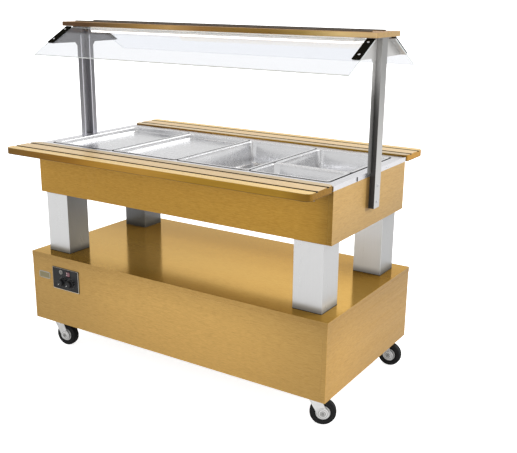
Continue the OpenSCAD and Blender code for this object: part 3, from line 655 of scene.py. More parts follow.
# Slot: (edge rounding, segments)
BEVEL = {
    "veneer": (0.9, 3), "veneer_end": (0.9, 3), "oak": (2.2, 3), "column_steel": (1.6, 3),
    "well_steel": (0.5, 2), "post_steel": (0.5, 2), "black_strip": (0.6, 2),
    "control_black": (0.8, 3), "castor_zinc": (0.6, 2), "zinc_box": (0.4, 2),
    "glass": (0.5, 2), "brass": (0.5, 2), "lever_red": (1.2, 3), "rocker_red": (0.6, 3),
    "pilot_lens": (0.4, 2), "diffuser": (0.6, 2), "lamp_white": (0.5, 2),
}


def soften(piece, width, segments):
    """Weld the imported corners, join coplanar triangles, then round every edge."""
    weld = piece.modifiers.new("weld", "WELD")
    weld.merge_threshold = 1e-5
    flats = piece.modifiers.new("flats", "DECIMATE")
    flats.decimate_type = "DISSOLVE"
    flats.angle_limit = math.radians(0.4)
    edge = piece.modifiers.new("edge", "BEVEL")
    edge.width = width * MM
    edge.segments = segments
    edge.limit_method = "ANGLE"
    edge.angle_limit = math.radians(32)
    edge.harden_normals = True
    edge.use_clamp_overlap = True


def dress(name, piece):
    """Paint a CAD piece, drop its imported normals and soften it if its slot asks for that."""
    slot = SLOT[name]
    piece.data.materials.clear()
    piece.data.materials.append(MATERIALS[OVERRIDE.get(name, slot)])
    normals = piece.data.attributes.get("custom_normal")
    if normals is not None:
        piece.data.attributes.remove(normals)
    if slot in BEVEL:
        soften(piece, *BEVEL[slot])
    for face in piece.data.polygons:
        face.material_index = 0
        face.use_smooth = slot in BEVEL


def mark_guard_edges(name, sign):
    """Give the guards' ground edges their own look; on the rear guard, the end edges only."""
    piece = NODES[name]
    piece.data.materials.append(MATERIALS["glass_edge"])
    pane_y, pane_z = sign * math.sin(GUARD_ANGLE), math.cos(GUARD_ANGLE)
    for face in piece.data.polygons:
        normal = face.normal
        is_edge = abs(normal.y * pane_y + normal.z * pane_z) < 0.7
        if is_edge and (name == "glass_front" or abs(normal.x) > 0.7):
            face.material_index = 1


def mark_board_sides(name, front, end=None):
    """Front and rear faces of a board, and its ends, carry the finish of that side."""
    piece = NODES[name]
    piece.data.materials.append(MATERIALS[front])
    if end:
        piece.data.materials.append(MATERIALS[end])
    for face in piece.data.polygons:
        if abs(face.normal.y) > 0.5:
            face.material_index = 1
        elif end and abs(face.normal.x) > 0.5:
            face.material_index = 2


for name, piece in NODES.items():
    dress(name, piece)
for side, tag in FRONT_REAR:
    mark_guard_edges("glass_" + tag, side)
mark_board_sides("base_top_board", "veneer", "veneer_end")
for cabinet, front in (("base", "veneer"), ("upper", "veneer_upper")):
    for side, tag in LEFT_RIGHT:
        mark_board_sides(f"{cabinet}_{tag}_panel", front)

# ------------------------------------------------------------------ mesh helpers


def add_object(name, data):
    item = bpy.data.objects.new(name, data)
    COLLECTION.objects.link(item)
    return item


def finish(name, mesh, body, slot, mat=None, smooth=True, angle=35, matrix=None, replaces=None,
           second=None):
    """Turn a bmesh into an object on a body; second is the material of faces marked 1."""
    bmesh.ops.remove_doubles(mesh, verts=mesh.verts, dist=1e-7)
    bmesh.ops.recalc_face_normals(mesh, faces=mesh.faces)
    if matrix is not None:
        mesh.transform(matrix)
    data = bpy.data.meshes.new(name)
    mesh.to_mesh(data)
    mesh.free()
    for face in data.polygons:
        face.use_smooth = smooth
    if smooth:
        data.set_sharp_from_angle(angle=math.radians(angle))
    piece = add_object(name, data)
    data.materials.append(MATERIALS[mat or slot])
    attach(piece, body)
    if replaces:
        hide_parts(replaces)
    if second:
        data.materials.append(MATERIALS[second])


def rounded(x0, y0, x1, y1, radius, segments=8):
    """Outline of a rounded rectangle, from its +X side anticlockwise."""
    points = []
    for x, y, start in ((x1 - radius, y1 - radius, 0), (x0 + radius, y1 - radius, 90),
                        (x0 + radius, y0 + radius, 180), (x1 - radius, y0 + radius, 270)):
        for i in range(segments + 1):
            turn = math.radians(start + 90 * i / segments)
            points.append((x + radius * math.cos(turn), y + radius * math.sin(turn)))
    return points


def centred(half_x, half_y, radius, segments=8):
    return rounded(-half_x, -half_y, half_x, half_y, radius, segments)


def inset_rings(box, stations, radius, taper, least=0.0, segments=6):
    """Rounded outlines stepping in from a box; stations are (inset, height)."""
    x0, y0, x1, y1 = box
    return [[(x, y, height) for x, y in
             rounded(x0 + inset, y0 + inset, x1 - inset, y1 - inset,
                     max(least, radius - inset * taper), segments)]
            for inset, height in stations]


def loft(rings, closed=False, mesh=None):
    """Skin over rings of (x, y, z): capped at both ends, or closed from last to first."""
    mesh = bmesh.new() if mesh is None else mesh
    rows = [[mesh.verts.new((x * MM, y * MM, z * MM)) for x, y, z in ring] for ring in rings]
    count = len(rows[0])
    for low, high in zip(rows, rows[1:] + rows[:1] if closed else rows[1:]):
        for i in range(count):
            j = (i + 1) % count
            mesh.faces.new((low[i], low[j], high[j], high[i]))
    if not closed:
        mesh.faces.new(list(reversed(rows[0])))
        mesh.faces.new(rows[-1])
    return mesh


def lathe(profile, segments=64, closed=False, flutes=None, mesh=None):
    """Solid of revolution about Z; profile is (radius, height).

    flutes(turn, radius, height) gives an amount to add to the radius.
    """
    mesh = bmesh.new() if mesh is None else mesh
    rows = []
    for radius, height in profile:
        if radius < 1e-6:
            rows.append([mesh.verts.new((0, 0, height * MM))])
            continue
        row = []
        for i in range(segments):
            turn = 2 * math.pi * i / segments
            reach = radius + (flutes(turn, radius, height) if flutes else 0.0)
            row.append(mesh.verts.new((reach * MM * math.cos(turn), reach * MM * math.sin(turn),
                                       height * MM)))
        rows.append(row)
    for low, high in zip(rows, rows[1:] + rows[:1] if closed else rows[1:]):
        for i in range(segments):
            j = (i + 1) % segments
            if len(low) == 1:
                mesh.faces.new((low[0], high[j], high[i]))
            elif len(high) == 1:
                mesh.faces.new((low[i], low[j], high[0]))
            else:
                mesh.faces.new((low[i], low[j], high[j], high[i]))
    return mesh


def mirrored(half):
    """A profile and its mirror image in height; a point at height 0 isn't doubled."""
    return ([(radius, -height) for radius, height in half]
            + [(radius, height) for radius, height in reversed(half) if height])


def tube(points, radius, segments):
    """Round tube along points; its first stretch lies level."""
    points = [Vector(point) for point in points]
    last = len(points) - 1
    normal = Vector((0, 0, 1))
    rings = []
    for i, point in enumerate(points):
        tangent = (points[min(i + 1, last)] - points[max(i - 1, 0)]).normalized()
        normal = (normal - tangent * normal.dot(tangent)).normalized()
        across = tangent.cross(normal)
        turns = [2 * math.pi * k / segments for k in range(segments)]
        rings.append([tuple(point + (normal * math.cos(turn) + across * math.sin(turn)) * radius)
                      for turn in turns])
    return loft(rings)


def prism(outline, bottom, top, chamfer=0.0, mesh=None):
    """An XY outline raised from bottom to top, with a small chamfer at the top edge."""
    centre_x = sum(point[0] for point in outline) / len(outline)
    centre_y = sum(point[1] for point in outline) / len(outline)

    def shrunk(amount, height):
        ring = []
        for x, y in outline:
            distance = math.hypot(x - centre_x, y - centre_y)
            factor = (distance - amount) / distance
            ring.append((centre_x + (x - centre_x) * factor, centre_y + (y - centre_y) * factor,
                         height))
        return ring

    rings = [[(x, y, height) for x, y in outline] for height in (bottom, top - chamfer)]
    if chamfer:
        rings.append(shrunk(chamfer * 0.3, top - chamfer * 0.3))
        rings.append(shrunk(chamfer, top))
    return loft(rings, mesh=mesh)


def add_part(mesh, part, matrix):
    """Move one bmesh into another."""
    part.transform(matrix)
    data = bpy.data.meshes.new("part")
    part.to_mesh(data)
    part.free()
    mesh.from_mesh(data)
    bpy.data.meshes.remove(data)


def axis_matrix(position, direction):
    """Place the origin at a position in metres and turn local Z to a direction."""
    turn = Vector(direction).normalized().to_track_quat("Z", "Y")
    return Matrix.Translation(Vector(position)) @ turn.to_matrix().to_4x4()


def moved(x, y, z=0):
    return Matrix.Translation((x * MM, y * MM, z * MM))


FRONT = Matrix.Rotation(math.radians(90), 4, "X")      # local Z to -Y, local Y to +Z
MIRROR_Z = Matrix.Scale(-1, 4, (0, 0, 1))


def front_at(x, y, z):
    return moved(x, y, z) @ FRONT


# ------------------------------------------------------------------ pressed food pans

PAN_PITCH = 332
PLACE_X = [PAN_PITCH * step for step in (-1.5, -0.5, 0.5, 1.5)]
PAN_WIDTH = 325
PAN_LENGTH = 530
THIRD = 175.5
TWO_THIRDS = 353.5
PAN_Z = 906.2              # underside of the flange
PAN_WALL = 12.5            # inset of the wall from the flange edge
SHEET = 1.1


def pan(node, centre_x, centre_y, length, depth):
    deep = depth > 50
    fillet = 16.0 if deep else 6.0
    wall = PAN_WALL
    foot = wall + (4.0 if deep else 1.0)               # wall inset at the bottom, with draft
    bottom = -depth + 0.2
    turns = [math.radians(90 * i / 6) for i in range(7)]

    # rings as (inset, height, corner radius): outside, from the bottom up
    rings = [(foot + fillet + 30, bottom, 8), (foot + fillet, bottom, 16)]
    for i in range(1, 7):
        rings.append((foot + fillet * (1 - math.sin(turns[i])),
                      bottom + fillet * (1 - math.cos(turns[i])), 16 + 8 * i / 6))
    if deep:
        rings += [(wall + 2.4, -17, 25), (wall + 0.6, -14, 25)]
    rings += [(wall, -3.2, 25), (wall - 0.6, -1.2, 25), (wall - 2.2, 0.15, 24), (1.2, 0.1, 14),
              (0.2, 0.2, 14.5)]
    # rim edge and top
    rings += [(0.0, 0.8, 14.5), (0.5, 1.35, 14.3), (2.0, 1.5, 14), (wall - 3.2, 1.45, 22),
              (wall - 1.0, 1.0, 23), (wall + 0.5, -0.4, 23.6)]
    # inside, from the top down
    rings.append((wall + SHEET, -3.2, 24))
    if deep:
        rings += [(wall + 0.6 + SHEET, -14, 24), (wall + 2.4 + SHEET, -17, 24)]
    for i in range(6, 0, -1):
        rings.append((foot + SHEET + (fillet - SHEET) * (1 - math.sin(turns[i])),
                      bottom + SHEET + (fillet - SHEET) * (1 - math.cos(turns[i])),
                      15 + 8 * i / 6))
    rings += [(foot + fillet, bottom + SHEET, 15), (foot + fillet + 30, bottom + SHEET, 8)]

    mesh = loft([[(centre_x + x, centre_y + y, PAN_Z + height) for x, y in
                  centred(PAN_WIDTH / 2 - inset, length / 2 - inset, radius, 10)]
                 for inset, height, radius in rings])
    finish(node + "_pressed", mesh, node, "pan_steel", angle=60, replaces=node)


def pan_seals():
    """Near-black strip under the pan flanges, painted shade for the gap seen as the thin line round each place."""
    half_width, half_length = 165, 268
    mesh = bmesh.new()
    for centre in PLACE_X:
        x0, x1 = centre - half_width, centre + half_width
        outer = rounded(x0 - (3.8 if centre == PLACE_X[0] else 0.9), -half_length - 4.2,
                        x1 + (3.8 if centre == PLACE_X[-1] else 0.9), half_length + 4.2, 18, 6)
        inner = rounded(x0 + 8, -half_length + 8, x1 - 8, half_length - 8, 12, 6)
        low, high = 906.02, 906.16
        loft([[(x, y, height) for x, y in outline] for outline, height in
              ((outer, low), (outer, high), (inner, high), (inner, low))],
             closed=True, mesh=mesh)
    finish("pan_seals", mesh, "table", "black_strip", "gap_dark", smooth=False)


for i in range(3):
    pan(f"pan_full_{i + 1}", PLACE_X[i], 0, PAN_LENGTH, 100 if i == 2 else 20)
pan("pan_third", PLACE_X[3], (THIRD - PAN_LENGTH) / 2, THIRD, 100)
pan("pan_two_thirds", PLACE_X[3], (PAN_LENGTH - TWO_THIRDS) / 2, TWO_THIRDS, 100)
pan_seals()

# ------------------------------------------------------------------ groove inserts and painted foot shadows

INSERT_LENGTH = 1412.0
INSERT_Z = 909.05
# Section of an insert, (y, z)
INSERT = [(-6.6, 0), (6.6, 0), (6.6, 1.2), (5.8, 1.9), (1.6, 1.4), (-1.6, 1.4), (-5.8, 1.9),
          (-6.6, 1.2)]
COLUMN_X, COLUMN_Y = 615, 249
# Section of the dark ring at a column foot, a painted contact shadow, (half width, z)
FOOT_SHADOW_RING = ((60.9, 435.0), (60.9, 436.6), (60.6, 437.0), (59.4, 437.0), (59.4, 435.0))


def groove_insert(side, tag, number, groove):
    """Dark insert in a groove of the tray slides."""
    stations = [-INSERT_LENGTH / 2 + INSERT_LENGTH * i / 12 for i in range(13)]
    mesh = loft([[(x, side * groove + y, INSERT_Z + z) for y, z in INSERT] for x in stations])
    finish(f"groove_insert_{tag}_{number}", mesh, "table", "black_strip", "groove_dark",
           smooth=False)


def foot_shadow_ring(name, centre_x, centre_y):
    """Thin black ring round a column foot: painted contact shadow."""
    mesh = loft([[(centre_x + x, centre_y + y, z) for x, y in centred(half, half, 3.0, 5)]
                 for half, z in FOOT_SHADOW_RING], closed=True)
    finish(name, mesh, "table", "black_strip", smooth=False)


for side, tag in FRONT_REAR:
    for number, groove in enumerate(GROOVE_Y, 1):
        groove_insert(side, tag, number, groove)
for side_x, tag_x in LEFT_RIGHT:
    for side_y, tag_y in FRONT_REAR:
        foot_shadow_ring(f"foot_gasket_{tag_x[0]}{tag_y[0]}", side_x * COLUMN_X, side_y * COLUMN_Y)

# ------------------------------------------------------------------ controls

KNOBS = (("knob_heat", -549), ("knob_lamp", -503))      # body, x
KNOB_Z = 325
DIAL_START, DIAL_SWEEP = 225, 270                       # degrees; the off mark is at the start
PILOT_AT = front_at(-557, CONTROL_Y, 368)

# (radius, height) off the control plate
KNOB = [(0, -10), (3, -10), (3, 1.0), (17.5, 1.0), (18.6, 1.5), (19.0, 2.4), (18.7, 3.6),
        (17.6, 4.7), (15.8, 5.4), (15.2, 6.4), (15.0, 8.0), (14.8, 10), (14.5, 13), (14.1, 16),
        (13.8, 17.6), (13.0, 18.7), (11.6, 19.4), (9.0, 19.3), (6.0, 19.1), (0, 19.0)]
PILOT_RING = [(7.0, 0.0), (9.2, 0.0), (9.2, 0.8), (8.6, 1.4), (7.6, 1.5), (7.0, 1.0)]
PILOT_DOME = [(0, 0.05), (6.4, 0.05), (6.45, 0.5), (5.9, 1.9), (4.6, 2.9), (2.6, 3.5), (0, 3.7)]
PILOT_BODY = [(0, -12), (5, -12), (5, 0.05), (0, 0.05)]


def control_trim():
    """Light trim round the control plate, in lit and shaded copies; its left and upper sides take painted shade.
    """
    stations = [(0.0, 0.0), (0.0, 0.9), (0.4, 1.2), (1.2, 1.2), (1.6, 0.9), (1.6, 0.0)]
    mesh = loft(inset_rings((-75.5, -48.5, 75.5, 48.5), stations, radius=4, taper=0.8),
                closed=True)
    for face in mesh.faces:
        centre = face.calc_center_median()
        if centre.y > 0.0465 or centre.x < -0.0735:
            face.material_index = 1
    finish("control_trim", mesh, "table", "screw_steel", "trim_grey",
           matrix=front_at(-531, CONTROL_Y, 338), second="trim_shade")


def knob_flutes(turn, radius, height):
    if 6.5 < height < 19 and radius > 10:
        return -0.55 * (0.5 + 0.5 * math.cos(18 * turn)) ** 3
    return 0.0


def dial_marks():
    """An off bar, then nine dots of growing size."""
    ring_radius = 21.0
    half_long, half_wide = 1.7, 0.5
    mesh = bmesh.new()
    for i in range(10):
        turn = math.radians(DIAL_START - DIAL_SWEEP * i / 9)
        cos, sin = math.cos(turn), math.sin(turn)
        x, y = ring_radius * cos, ring_radius * sin
        if i == 0:
            outline = [(x + half_long * cos * out + half_wide * sin * side,
                        y + half_long * sin * out - half_wide * cos * side)
                       for out, side in ((-0.6, -1), (1.2, -1), (1.2, 1), (-0.6, 1))]
        else:
            size = 0.45 + 0.04 * i
            outline = [(x + size * math.cos(k * math.pi / 5), y + size * math.sin(k * math.pi / 5))
                       for k in range(10)]
        prism(outline, 0.0, 0.12, mesh=mesh)
    return mesh


def knob(body, x):
    matrix = front_at(x, CONTROL_Y, KNOB_Z)
    finish(body + "_cap", lathe(KNOB, 144, flutes=knob_flutes), body, "control_black", angle=50,
           matrix=matrix, replaces=body)
    # raised white index bar over the top and down the skirt, pointing to the off mark
    mesh = bmesh.new()
    for start, end, bottom, top in ((3.5, 12.8, 18.6, 20.2), (15.4, 18.2, 3.4, 5.6)):
        prism(rounded(start, -0.9, end, 0.9, 0.8, 4), bottom, top, 0.3, mesh)
    finish(body + "_index", mesh, body, "control_black", "mark_white",
           matrix=matrix @ Matrix.Rotation(math.radians(DIAL_START), 4, "Z"))
    finish(body + "_dial", dial_marks(), "table", "control_black", "mark_white", smooth=False,
           matrix=matrix)


def rocker_details():
    """Raised frame round the rocker, and a pale bar and dot on the two halves of its key."""
    stations = [(0, 0), (0, 0.96), (0.55, 1.6), (1.65, 1.6), (2.2, 1.12), (2.2, 0)]
    rings = inset_rings((-528.2, 349.8, -501.8, 378.2), stations, radius=2.5, taper=0.7)
    finish("rocker_frame", loft(rings, closed=True), "table", "control_black",
           matrix=front_at(0, CONTROL_Y, 0))
    # name, y, z, normal y, normal z, half width, half height
    for name, y, z, normal_y, normal_z, wide, tall in (
            ("bar", -368.25, 370.2, -0.982, -0.189, 1.1, 3.4),
            ("dot", -368.62, 360.9, -0.963, 0.268, 1.7, 1.7)):
        mesh = prism(centred(wide, tall, min(wide, tall) * 0.95, 6), -0.2, 0.25, 0.08)
        tilt = Matrix.Rotation(math.atan2(normal_z, -normal_y), 4, "X")
        finish("rocker_" + name, mesh, "rocker", "control_black", "mark_white",
               matrix=moved(-520.5, y, z) @ tilt.inverted() @ FRONT)


def pilot_flutes(turn, radius, height):
    return 0.12 * math.cos(12 * turn) if radius > 4 else 0.0


def pilot_lamp():
    finish("pilot_ring", lathe(PILOT_RING, closed=True), "table", "screw_steel", "badge_rim",
           matrix=PILOT_AT)
    finish("pilot_dome", lathe(PILOT_DOME, 48, flutes=pilot_flutes), "table", "pilot_lens",
           matrix=PILOT_AT)
    finish("pilot_body", lathe(PILOT_BODY, 32), "table", "pilot_lens", matrix=PILOT_AT,
           replaces="pilot_lamp")


def plain_plate():
    """Blank rounded plate with a raised border, beside the controls."""
    stations = [(0, 0.05), (0, 1.2), (0.6, 1.9), (2.6, 1.9), (3.2, 1.3), (9, 1.5)]
    mesh = loft(inset_rings((-33.0, -15.5, 33.0, 15.5), stations, radius=8.0, taper=0.8,
                            least=2.0, segments=8))
    for face in mesh.faces:
        centre = face.calc_center_median()
        if centre.z > 0.0012 and abs(centre.x) < 0.0302 and abs(centre.y) < 0.0127:
            face.material_index = 1
    finish("plain_plate", mesh, "table", "screw_steel", "badge_rim",
           matrix=front_at(-659, -364, 337), second="badge")


control_trim()
for body, x in KNOBS:
    knob(body, x)
rocker_details()
pilot_lamp()
plain_plate()

# ------------------------------------------------------------------ machine screws

WEB_SCREW_X = 727.2
WEB_SCREW_Z = (791, 853)
CLAMP_SCREW_X = 713.2
CLAMP_SCREW_DOWN = (30, 108)      # distance down the guard from its top
CLAMP_SCREW_OFF = 8.2             # height off the guard
RECESS_ARM, RECESS_HALF = 2.3, 0.45


def temporary(mesh_name, object_name, mesh):
    bmesh.ops.recalc_face_normals(mesh, faces=mesh.faces)
    data = bpy.data.meshes.new(mesh_name)
    mesh.to_mesh(data)
    mesh.free()
    return add_object(object_name, data)


def screw_mesh(length):
    """Domed screw with a cross recess, head up from z = 0."""
    profile = [(0, -length), (1.9, -length), (2.4, -length + 0.6), (2.4, 0.0), (4.4, 0.0),
               (4.7, 0.4), (4.55, 1.2), (4.0, 2.0), (3.0, 2.6), (1.6, 2.95), (0, 3.05)]
    screw = temporary("screw", "screw_tmp", lathe(profile, 40))
    arm, half = RECESS_ARM, RECESS_HALF
    cross = [(-arm, -half), (-half, -half), (-half, -arm), (half, -arm), (half, -half),
             (arm, -half), (arm, half), (half, half), (half, arm), (-half, arm), (-half, half),
             (-arm, half)]
    cutter = temporary("cut", "cut_tmp", prism(cross, 1.3, 4.5))
    cut = screw.modifiers.new("cut", "BOOLEAN")
    cut.operation = "DIFFERENCE"
    cut.solver = "EXACT"
    cut.object = cutter
    graph = bpy.context.evaluated_depsgraph_get()
    result = bpy.data.meshes.new_from_object(screw.evaluated_get(graph))
    bpy.data.objects.remove(screw)
    bpy.data.objects.remove(cutter)
    for face in result.polygons:
        face.use_smooth = True
    result.set_sharp_from_angle(angle=math.radians(40))
    result.materials.clear()
    result.materials.append(MATERIALS["screw_steel"])
    return result


def place_screw(name, data, position, direction, turn):
    """Screw at a position in mm, turned about its own axis."""
    screw = add_object(name, data)
    screw.matrix_world = (axis_matrix([value * MM for value in position], direction)
                          @ Matrix.Rotation(turn, 4, "Z"))
    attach(screw, "table")
    return screw


def guard_point(down, off):
    """(y, z) at a distance down the rear guard and a height off it."""
    cos, sin = math.cos(GUARD_ANGLE), math.sin(GUARD_ANGLE)
    return GUARD_TOP[0] + down * cos + off * sin, GUARD_TOP[1] - down * sin + off * cos


web_screw = screw_mesh(20)
clamp_screw = screw_mesh(12)
for side, tag in LEFT_RIGHT:
    for i, z in enumerate(WEB_SCREW_Z):
        place_screw(f"web_screw_{tag}_{i + 1}", web_screw,
                                  (side * WEB_SCREW_X, 0, z), (side, 0, 0), 0.4 + 0.7 * i + side)
    for side_y, tag_y in FRONT_REAR:
        for i, down in enumerate(CLAMP_SCREW_DOWN):
            y, z = guard_point(down, CLAMP_SCREW_OFF)
            place_screw(f"clamp_screw_{tag}_{tag_y}_{i + 1}", clamp_screw,
                        (side * CLAMP_SCREW_X, side_y * y, z),
                        (0, side_y * math.sin(GUARD_ANGLE), math.cos(GUARD_ANGLE)),
                        0.9 * i + side_y)
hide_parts("m5_screws")

# ------------------------------------------------------------------ castors

CASTOR_X, CASTOR_Y = 645, 308
# Tag, x, y, swivel angle in degrees, brake pedal body
CASTORS = (
    ("front_left", -CASTOR_X, -CASTOR_Y, 6, "pedal_front"),
    ("front_right", CASTOR_X, -CASTOR_Y, 27, None),
    ("rear_left", -CASTOR_X, CASTOR_Y, -20, "pedal_rear"),
    ("rear_right", CASTOR_X, CASTOR_Y, 4, None),
)
# Half profiles, (radius, distance from the wheel's middle plane)
# Crowned tread, rounded shoulders and one moulded line on each side
TYRE = [(27.0, 13.5), (28.2, 14.4), (31.0, 15.2), (36.6, 15.9), (37.0, 15.3), (38.2, 15.3),
        (38.6, 16.0), (43.0, 15.9), (46.4, 14.9), (48.3, 12.8), (49.4, 9.6), (49.85, 5.0),
        (50.0, 0.0)]
# Bearing boss, dished web and rim
HUB = [(5.05, 18.4), (9.6, 18.4), (10.8, 17.6), (11.2, 12.0), (12.2, 8.2), (13.5, 7.2),
       (20.0, 7.0), (21.8, 8.0), (22.8, 10.5), (23.4, 14.2), (24.4, 14.9), (27.0, 14.9)]
COVER = [(0, 21.4), (21.6, 21.4), (22.0, 21.9), (21.5, 23.0), (20.4, 23.8), (18.2, 24.2),
         (17.6, 23.6), (16.2, 23.5), (15.6, 24.4), (12.5, 25.2), (11.2, 25.3), (10.7, 24.5),
         (8.4, 24.4), (0, 24.4)]
AXLE_HEAD = [(0, 24.2), (6.2, 24.2), (6.2, 26.6), (5.4, 27.5), (2.2, 27.9), (1.8, 27.0),
             (0, 27.0)]
# (radius, z)
SWIVEL_BEAD = [(20.5, 112.0), (27.6, 112.0), (29.0, 113.0), (29.4, 114.8), (28.8, 116.6),
               (27.4, 117.4), (20.5, 117.4)]


def hub_mesh():
    mesh = lathe(mirrored(HUB), 96, closed=True)
    for mirror in (MIRROR_Z, Matrix.Identity(4)):
        for i in range(6):
            rib = prism(rounded(10.5, -1.3, 23.2, 1.3, 1.1, 3), 6.0, 11.0, 0.5)
            add_part(mesh, rib, Matrix.Rotation(2 * math.pi * i / 6, 4, "Z") @ mirror)
    return mesh


def cover_mesh():
    """Round cover outside the fork, with the axle bolt head; its recesses take painted shade and the head is dark.
    """
    mesh = lathe(AXLE_HEAD, 36, mesh=lathe(COVER, 72))
    for face in mesh.faces:
        centre = face.calc_center_median()
        radius = math.hypot(centre.x, centre.y) / MM
        height = centre.z / MM
        outer_recess = 15.9 < radius < 17.5 and height < 24.0
        inner_recess = 8.0 < radius < 10.9 and height < 25.0
        if outer_recess or inner_recess or (radius < 6.3 and height > 24.3):
            face.material_index = 1
    return mesh


def pedal_ribs():
    """Five ribs across the pedal, stepping down towards its tip."""
    mesh = bmesh.new()
    for i in range(5):
        x = 68 + 4.4 * i
        height = 110.3 - max(0.0, x - 80) * 0.18 - 0.6
        prism(rounded(x - 1.0, -15.5, x + 1.0, 15.5, 0.9, 3), height - 0.4, height + 1.3, 0.5,
              mesh)
    return mesh


def castor(tag, x, y, angle, pedal):
    joint = JOINTS["roll_" + tag]
    axle = axis_matrix(joint["pos_m"], joint["axis"])
    finish("tyre_ring_" + tag, lathe(mirrored(TYRE), 120, closed=True), "wheel_" + tag, "tyre",
           angle=50, matrix=axle, replaces="tyre_" + tag)
    finish("hub_wheel_" + tag, hub_mesh(), "wheel_" + tag, "castor_zinc", matrix=axle,
           replaces="hub_" + tag)
    for letter in "ab":
        mesh = cover_mesh()
        if letter == "a":
            mesh.transform(MIRROR_Z)
        finish(f"fork_cover_{tag}_{letter}", mesh, "swivel_" + tag, "castor_zinc", matrix=axle,
               second="hub_dark")
    # rolled bead of the swivel race, under the top plate
    finish("swivel_bead_" + tag, lathe(SWIVEL_BEAD, 72, closed=True), "swivel_" + tag,
           "castor_zinc", matrix=moved(x, y))
    if pedal:
        finish("pedal_ribs_" + tag, pedal_ribs(), pedal, "black_strip",
               matrix=moved(x, y) @ Matrix.Rotation(math.radians(angle), 4, "Z"))


for row in CASTORS:
    castor(*row)

# ------------------------------------------------------------------ power cord

CORD_X = -300
CORD_EXIT_Z = 205
CORD_BEND = 30                    # radius of the turn downwards
CORD_BEND_Y = 383
CORD_Y = CORD_BEND_Y + CORD_BEND  # the hanging stretch
CORD_BEND_Z = CORD_EXIT_Z - CORD_BEND
GLAND_BORE = 4.35
# z, half width, half depth, corner radius
PLUG = ((108, 5, 5, 4.8), (103, 7.5, 6.5, 5.5), (100, 9.5, 8, 6), (96, 12.5, 10, 8),
        (90, 16, 13, 11), (84, 17.6, 15, 13), (80, 17.2, 14.4, 12.5), (76, 17.2, 14.4, 12.5),
        (72, 18, 15.6, 13.5), (65, 18, 16, 14), (63.6, 17.4, 15.6, 13.6), (63, 16, 14.6, 12.6))
PIN = [(0, 45), (1.6, 45.2), (2.4, 46.4), (2.4, 63.4), (0, 63.4)]      # (radius, z)
PIN_OFFSET = 9.5


def cord_cable():
    points = [(CORD_X, 346, CORD_EXIT_Z), (CORD_X, 385, CORD_EXIT_Z)]
    for i in range(1, 15):
        turn = math.radians(90 * i / 14)
        points.append((CORD_X, CORD_BEND_Y + CORD_BEND * math.sin(turn),
                       CORD_BEND_Z + CORD_BEND * math.cos(turn)))
    for z in (165, 150, 135, 120, 106):
        points.append((CORD_X + 1.5 * math.sin((CORD_BEND_Z - z) / 20), CORD_Y, z))
    finish("cord_cable", tube(points, radius=4.3, segments=24), "table", "cord_black", angle=60,
           replaces="power_cord")


def cord_gland():
    """Flange on the rear panel with a tapering ribbed sleeve."""
    profile = [(GLAND_BORE, -4), (13.0, -4), (13.4, -3.2), (13.0, -0.8), (11.0, 0.6), (9.0, 1.0)]
    height = 1.0
    for i in range(6):
        radius = 8.2 - 0.55 * i
        profile += [(radius, height + 0.3), (radius, height + 2.0),
                    (radius - 1.1, height + 2.3), (radius - 1.1, height + 3.0)]
        height += 3.0
    profile.append((GLAND_BORE, height + 0.4))
    finish("cord_gland", lathe(profile, 48, closed=True), "table", "cord_black",
           matrix=axis_matrix((CORD_X * MM, 0.3685, CORD_EXIT_Z * MM), (0, 1, 0)))


def cord_plug():
    mesh = loft([[(CORD_X + x, CORD_Y + y, z) for x, y in centred(wide, deep, radius)]
                 for z, wide, deep, radius in PLUG])
    finish("cord_plug", mesh, "table", "cord_black", angle=45)
    mesh = bmesh.new()
    for offset in (-PIN_OFFSET, PIN_OFFSET):
        add_part(mesh, lathe(PIN, 28), moved(CORD_X + offset, CORD_Y))
    finish("plug_pins", mesh, "table", "brass")


cord_cable()
cord_gland()
cord_plug()

# ------------------------------------------------------------------ drain fittings

VALVE_X = -450
NUTS = ((110, 120, 19), (74, 82, 15))      # bottom z, top z, radius over the corners
# Distance from the valve along X, growth of the section
GRIP = ((30, 0.2), (31, 0.9), (33, 1.2), (50, 1.2), (66, 1.2), (72, 1.4), (75, 1.0), (76, 0.1))


def valve_nuts():
    mesh = bmesh.new()
    for bottom, top, radius in NUTS:
        hexagon = [(radius * math.cos(math.pi / 3 * i), radius * math.sin(math.pi / 3 * i))
                   for i in range(6)]
        prism(hexagon, bottom, top, 0.8, mesh)
    finish("valve_nuts", mesh, "table", "brass", smooth=False, matrix=moved(VALVE_X, 232))


def lever_grip():
    mesh = loft([[(VALVE_X + along, 266 + y, 98 + z) for y, z in
                  centred(2 + growth, 6 + growth, 1.5 + growth * 0.4, 5)]
                 for along, growth in GRIP])
    finish("lever_grip", mesh, "drain_lever", "lever_red")


valve_nuts()
lever_grip()

# ------------------------------------------------------------------ marks on the rim's right lip

RIM_X = 0.7050
RIVET = [(0, -0.2), (2.7, -0.2), (2.7, 0.4), (2.2, 1.0), (1.2, 1.3), (0, 1.4)]


def rim_at(y, z):
    return axis_matrix((RIM_X, y * MM, z * MM), (1, 0, 0))


finish("rim_slot_plug", prism(centred(3.0, 8.0, 2.9), -0.2, 1.6, 0.5), "table", "black_strip",
       matrix=rim_at(-130, 897))
for number, (y, z) in enumerate(((123, 897), (141, 894.5)), 1):
    finish(f"rim_rivet_{number}", lathe(RIVET, 28), "table", "screw_steel", matrix=rim_at(y, z))

# ------------------------------------------------------------------ stage, light and camera


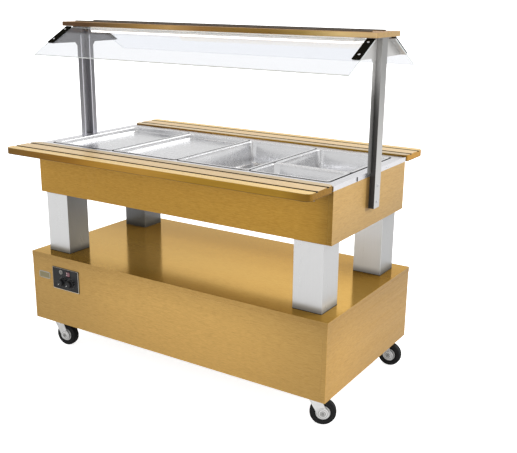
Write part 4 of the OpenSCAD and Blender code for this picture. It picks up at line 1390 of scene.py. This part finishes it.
def build_floor():
    """Pale floor that also glows a little towards the camera."""
    bpy.ops.mesh.primitive_plane_add(size=80, location=(0, 0, 0))
    floor = bpy.context.object
    floor.name = "floor"
    mat = Mat("floor")
    clouds = mat.noise(mat.coord(), 0.7, detail=3.0, rough=0.5)
    mat.set(Base_Color=mat.mix(clouds, (0.90, 0.90, 0.90, 1), (0.93, 0.93, 0.93, 1)),
            Emission_Strength=mat.ray("Is Camera Ray") * 0.80, Emission_Color=(1, 1, 1, 1),
            Roughness=0.7, Specular_IOR_Level=0.2)
    floor.data.materials.append(MATERIALS["floor"])


def build_world(lighting, seen):
    """White world, with one strength for lighting and one for the camera's view."""
    world = bpy.data.worlds.new("world")
    bpy.context.scene.world = world
    world.use_nodes = True
    nodes, links = world.node_tree.nodes, world.node_tree.links
    nodes.clear()
    output = nodes.new("ShaderNodeOutputWorld")
    rays = nodes.new("ShaderNodeLightPath")
    blend = nodes.new("ShaderNodeMixShader")
    links.new(rays.outputs["Is Camera Ray"], blend.inputs[0])
    for i, strength in enumerate((lighting, seen)):
        background = nodes.new("ShaderNodeBackground")
        background.inputs[0].default_value = (1.0, 1.0, 1.0, 1)
        background.inputs[1].default_value = strength
        links.new(background.outputs[0], blend.inputs[i + 1])
    links.new(blend.outputs[0], output.inputs[0])


def build_lights():
    key = bpy.data.lights.new("key", "SUN")
    key.energy = 1.2
    key.angle = math.radians(40)
    add_object("key", key).matrix_world = axis_matrix((4, 2, 4), (0.66, 0.62, 0.72))

    # soft card that lights the plate shelf from under the upper cabinet
    fill = bpy.data.lights.new("shelf_fill", "AREA")
    fill.shape = "RECTANGLE"
    fill.size = 1.10
    fill.size_y = 0.44
    fill.energy = 0.8
    card = add_object("shelf_fill", fill)
    card.matrix_world = Matrix.Translation((0, 0, 0.692))
    card.visible_camera = False
    card.visible_glossy = False


def build_camera(position, yaw, pitch, roll):
    """Camera looking towards the rear left and down; angles in radians."""
    forward = Vector((-math.sin(yaw) * math.cos(pitch), math.cos(yaw) * math.cos(pitch),
                      -math.sin(pitch)))
    level = forward.cross(Vector((0, 0, 1))).normalized()
    upward = level.cross(forward)
    right = level * math.cos(roll) + upward * math.sin(roll)
    top = -level * math.sin(roll) + upward * math.cos(roll)
    camera = bpy.data.cameras.new("camera")
    camera.sensor_fit = "HORIZONTAL"
    camera.sensor_width = 36
    camera.lens = 55.6526297872
    camera.shift_x = 0.00286595745
    camera.shift_y = 0.00395860735
    camera.clip_end = 200
    holder = add_object("camera", camera)
    turn = Matrix((right, top, -forward)).transposed().to_4x4()
    holder.matrix_world = Matrix.Translation(position) @ turn
    bpy.context.scene.camera = holder


build_floor()
build_world(lighting=0.90, seen=1.05)
build_lights()
build_camera((1.8876672, -2.652257, 1.5182675), yaw=0.5653, pitch=0.284, roll=0.0108)
bpy.context.scene.view_settings.view_transform = "Standard"

bpy.context.view_layer.update()
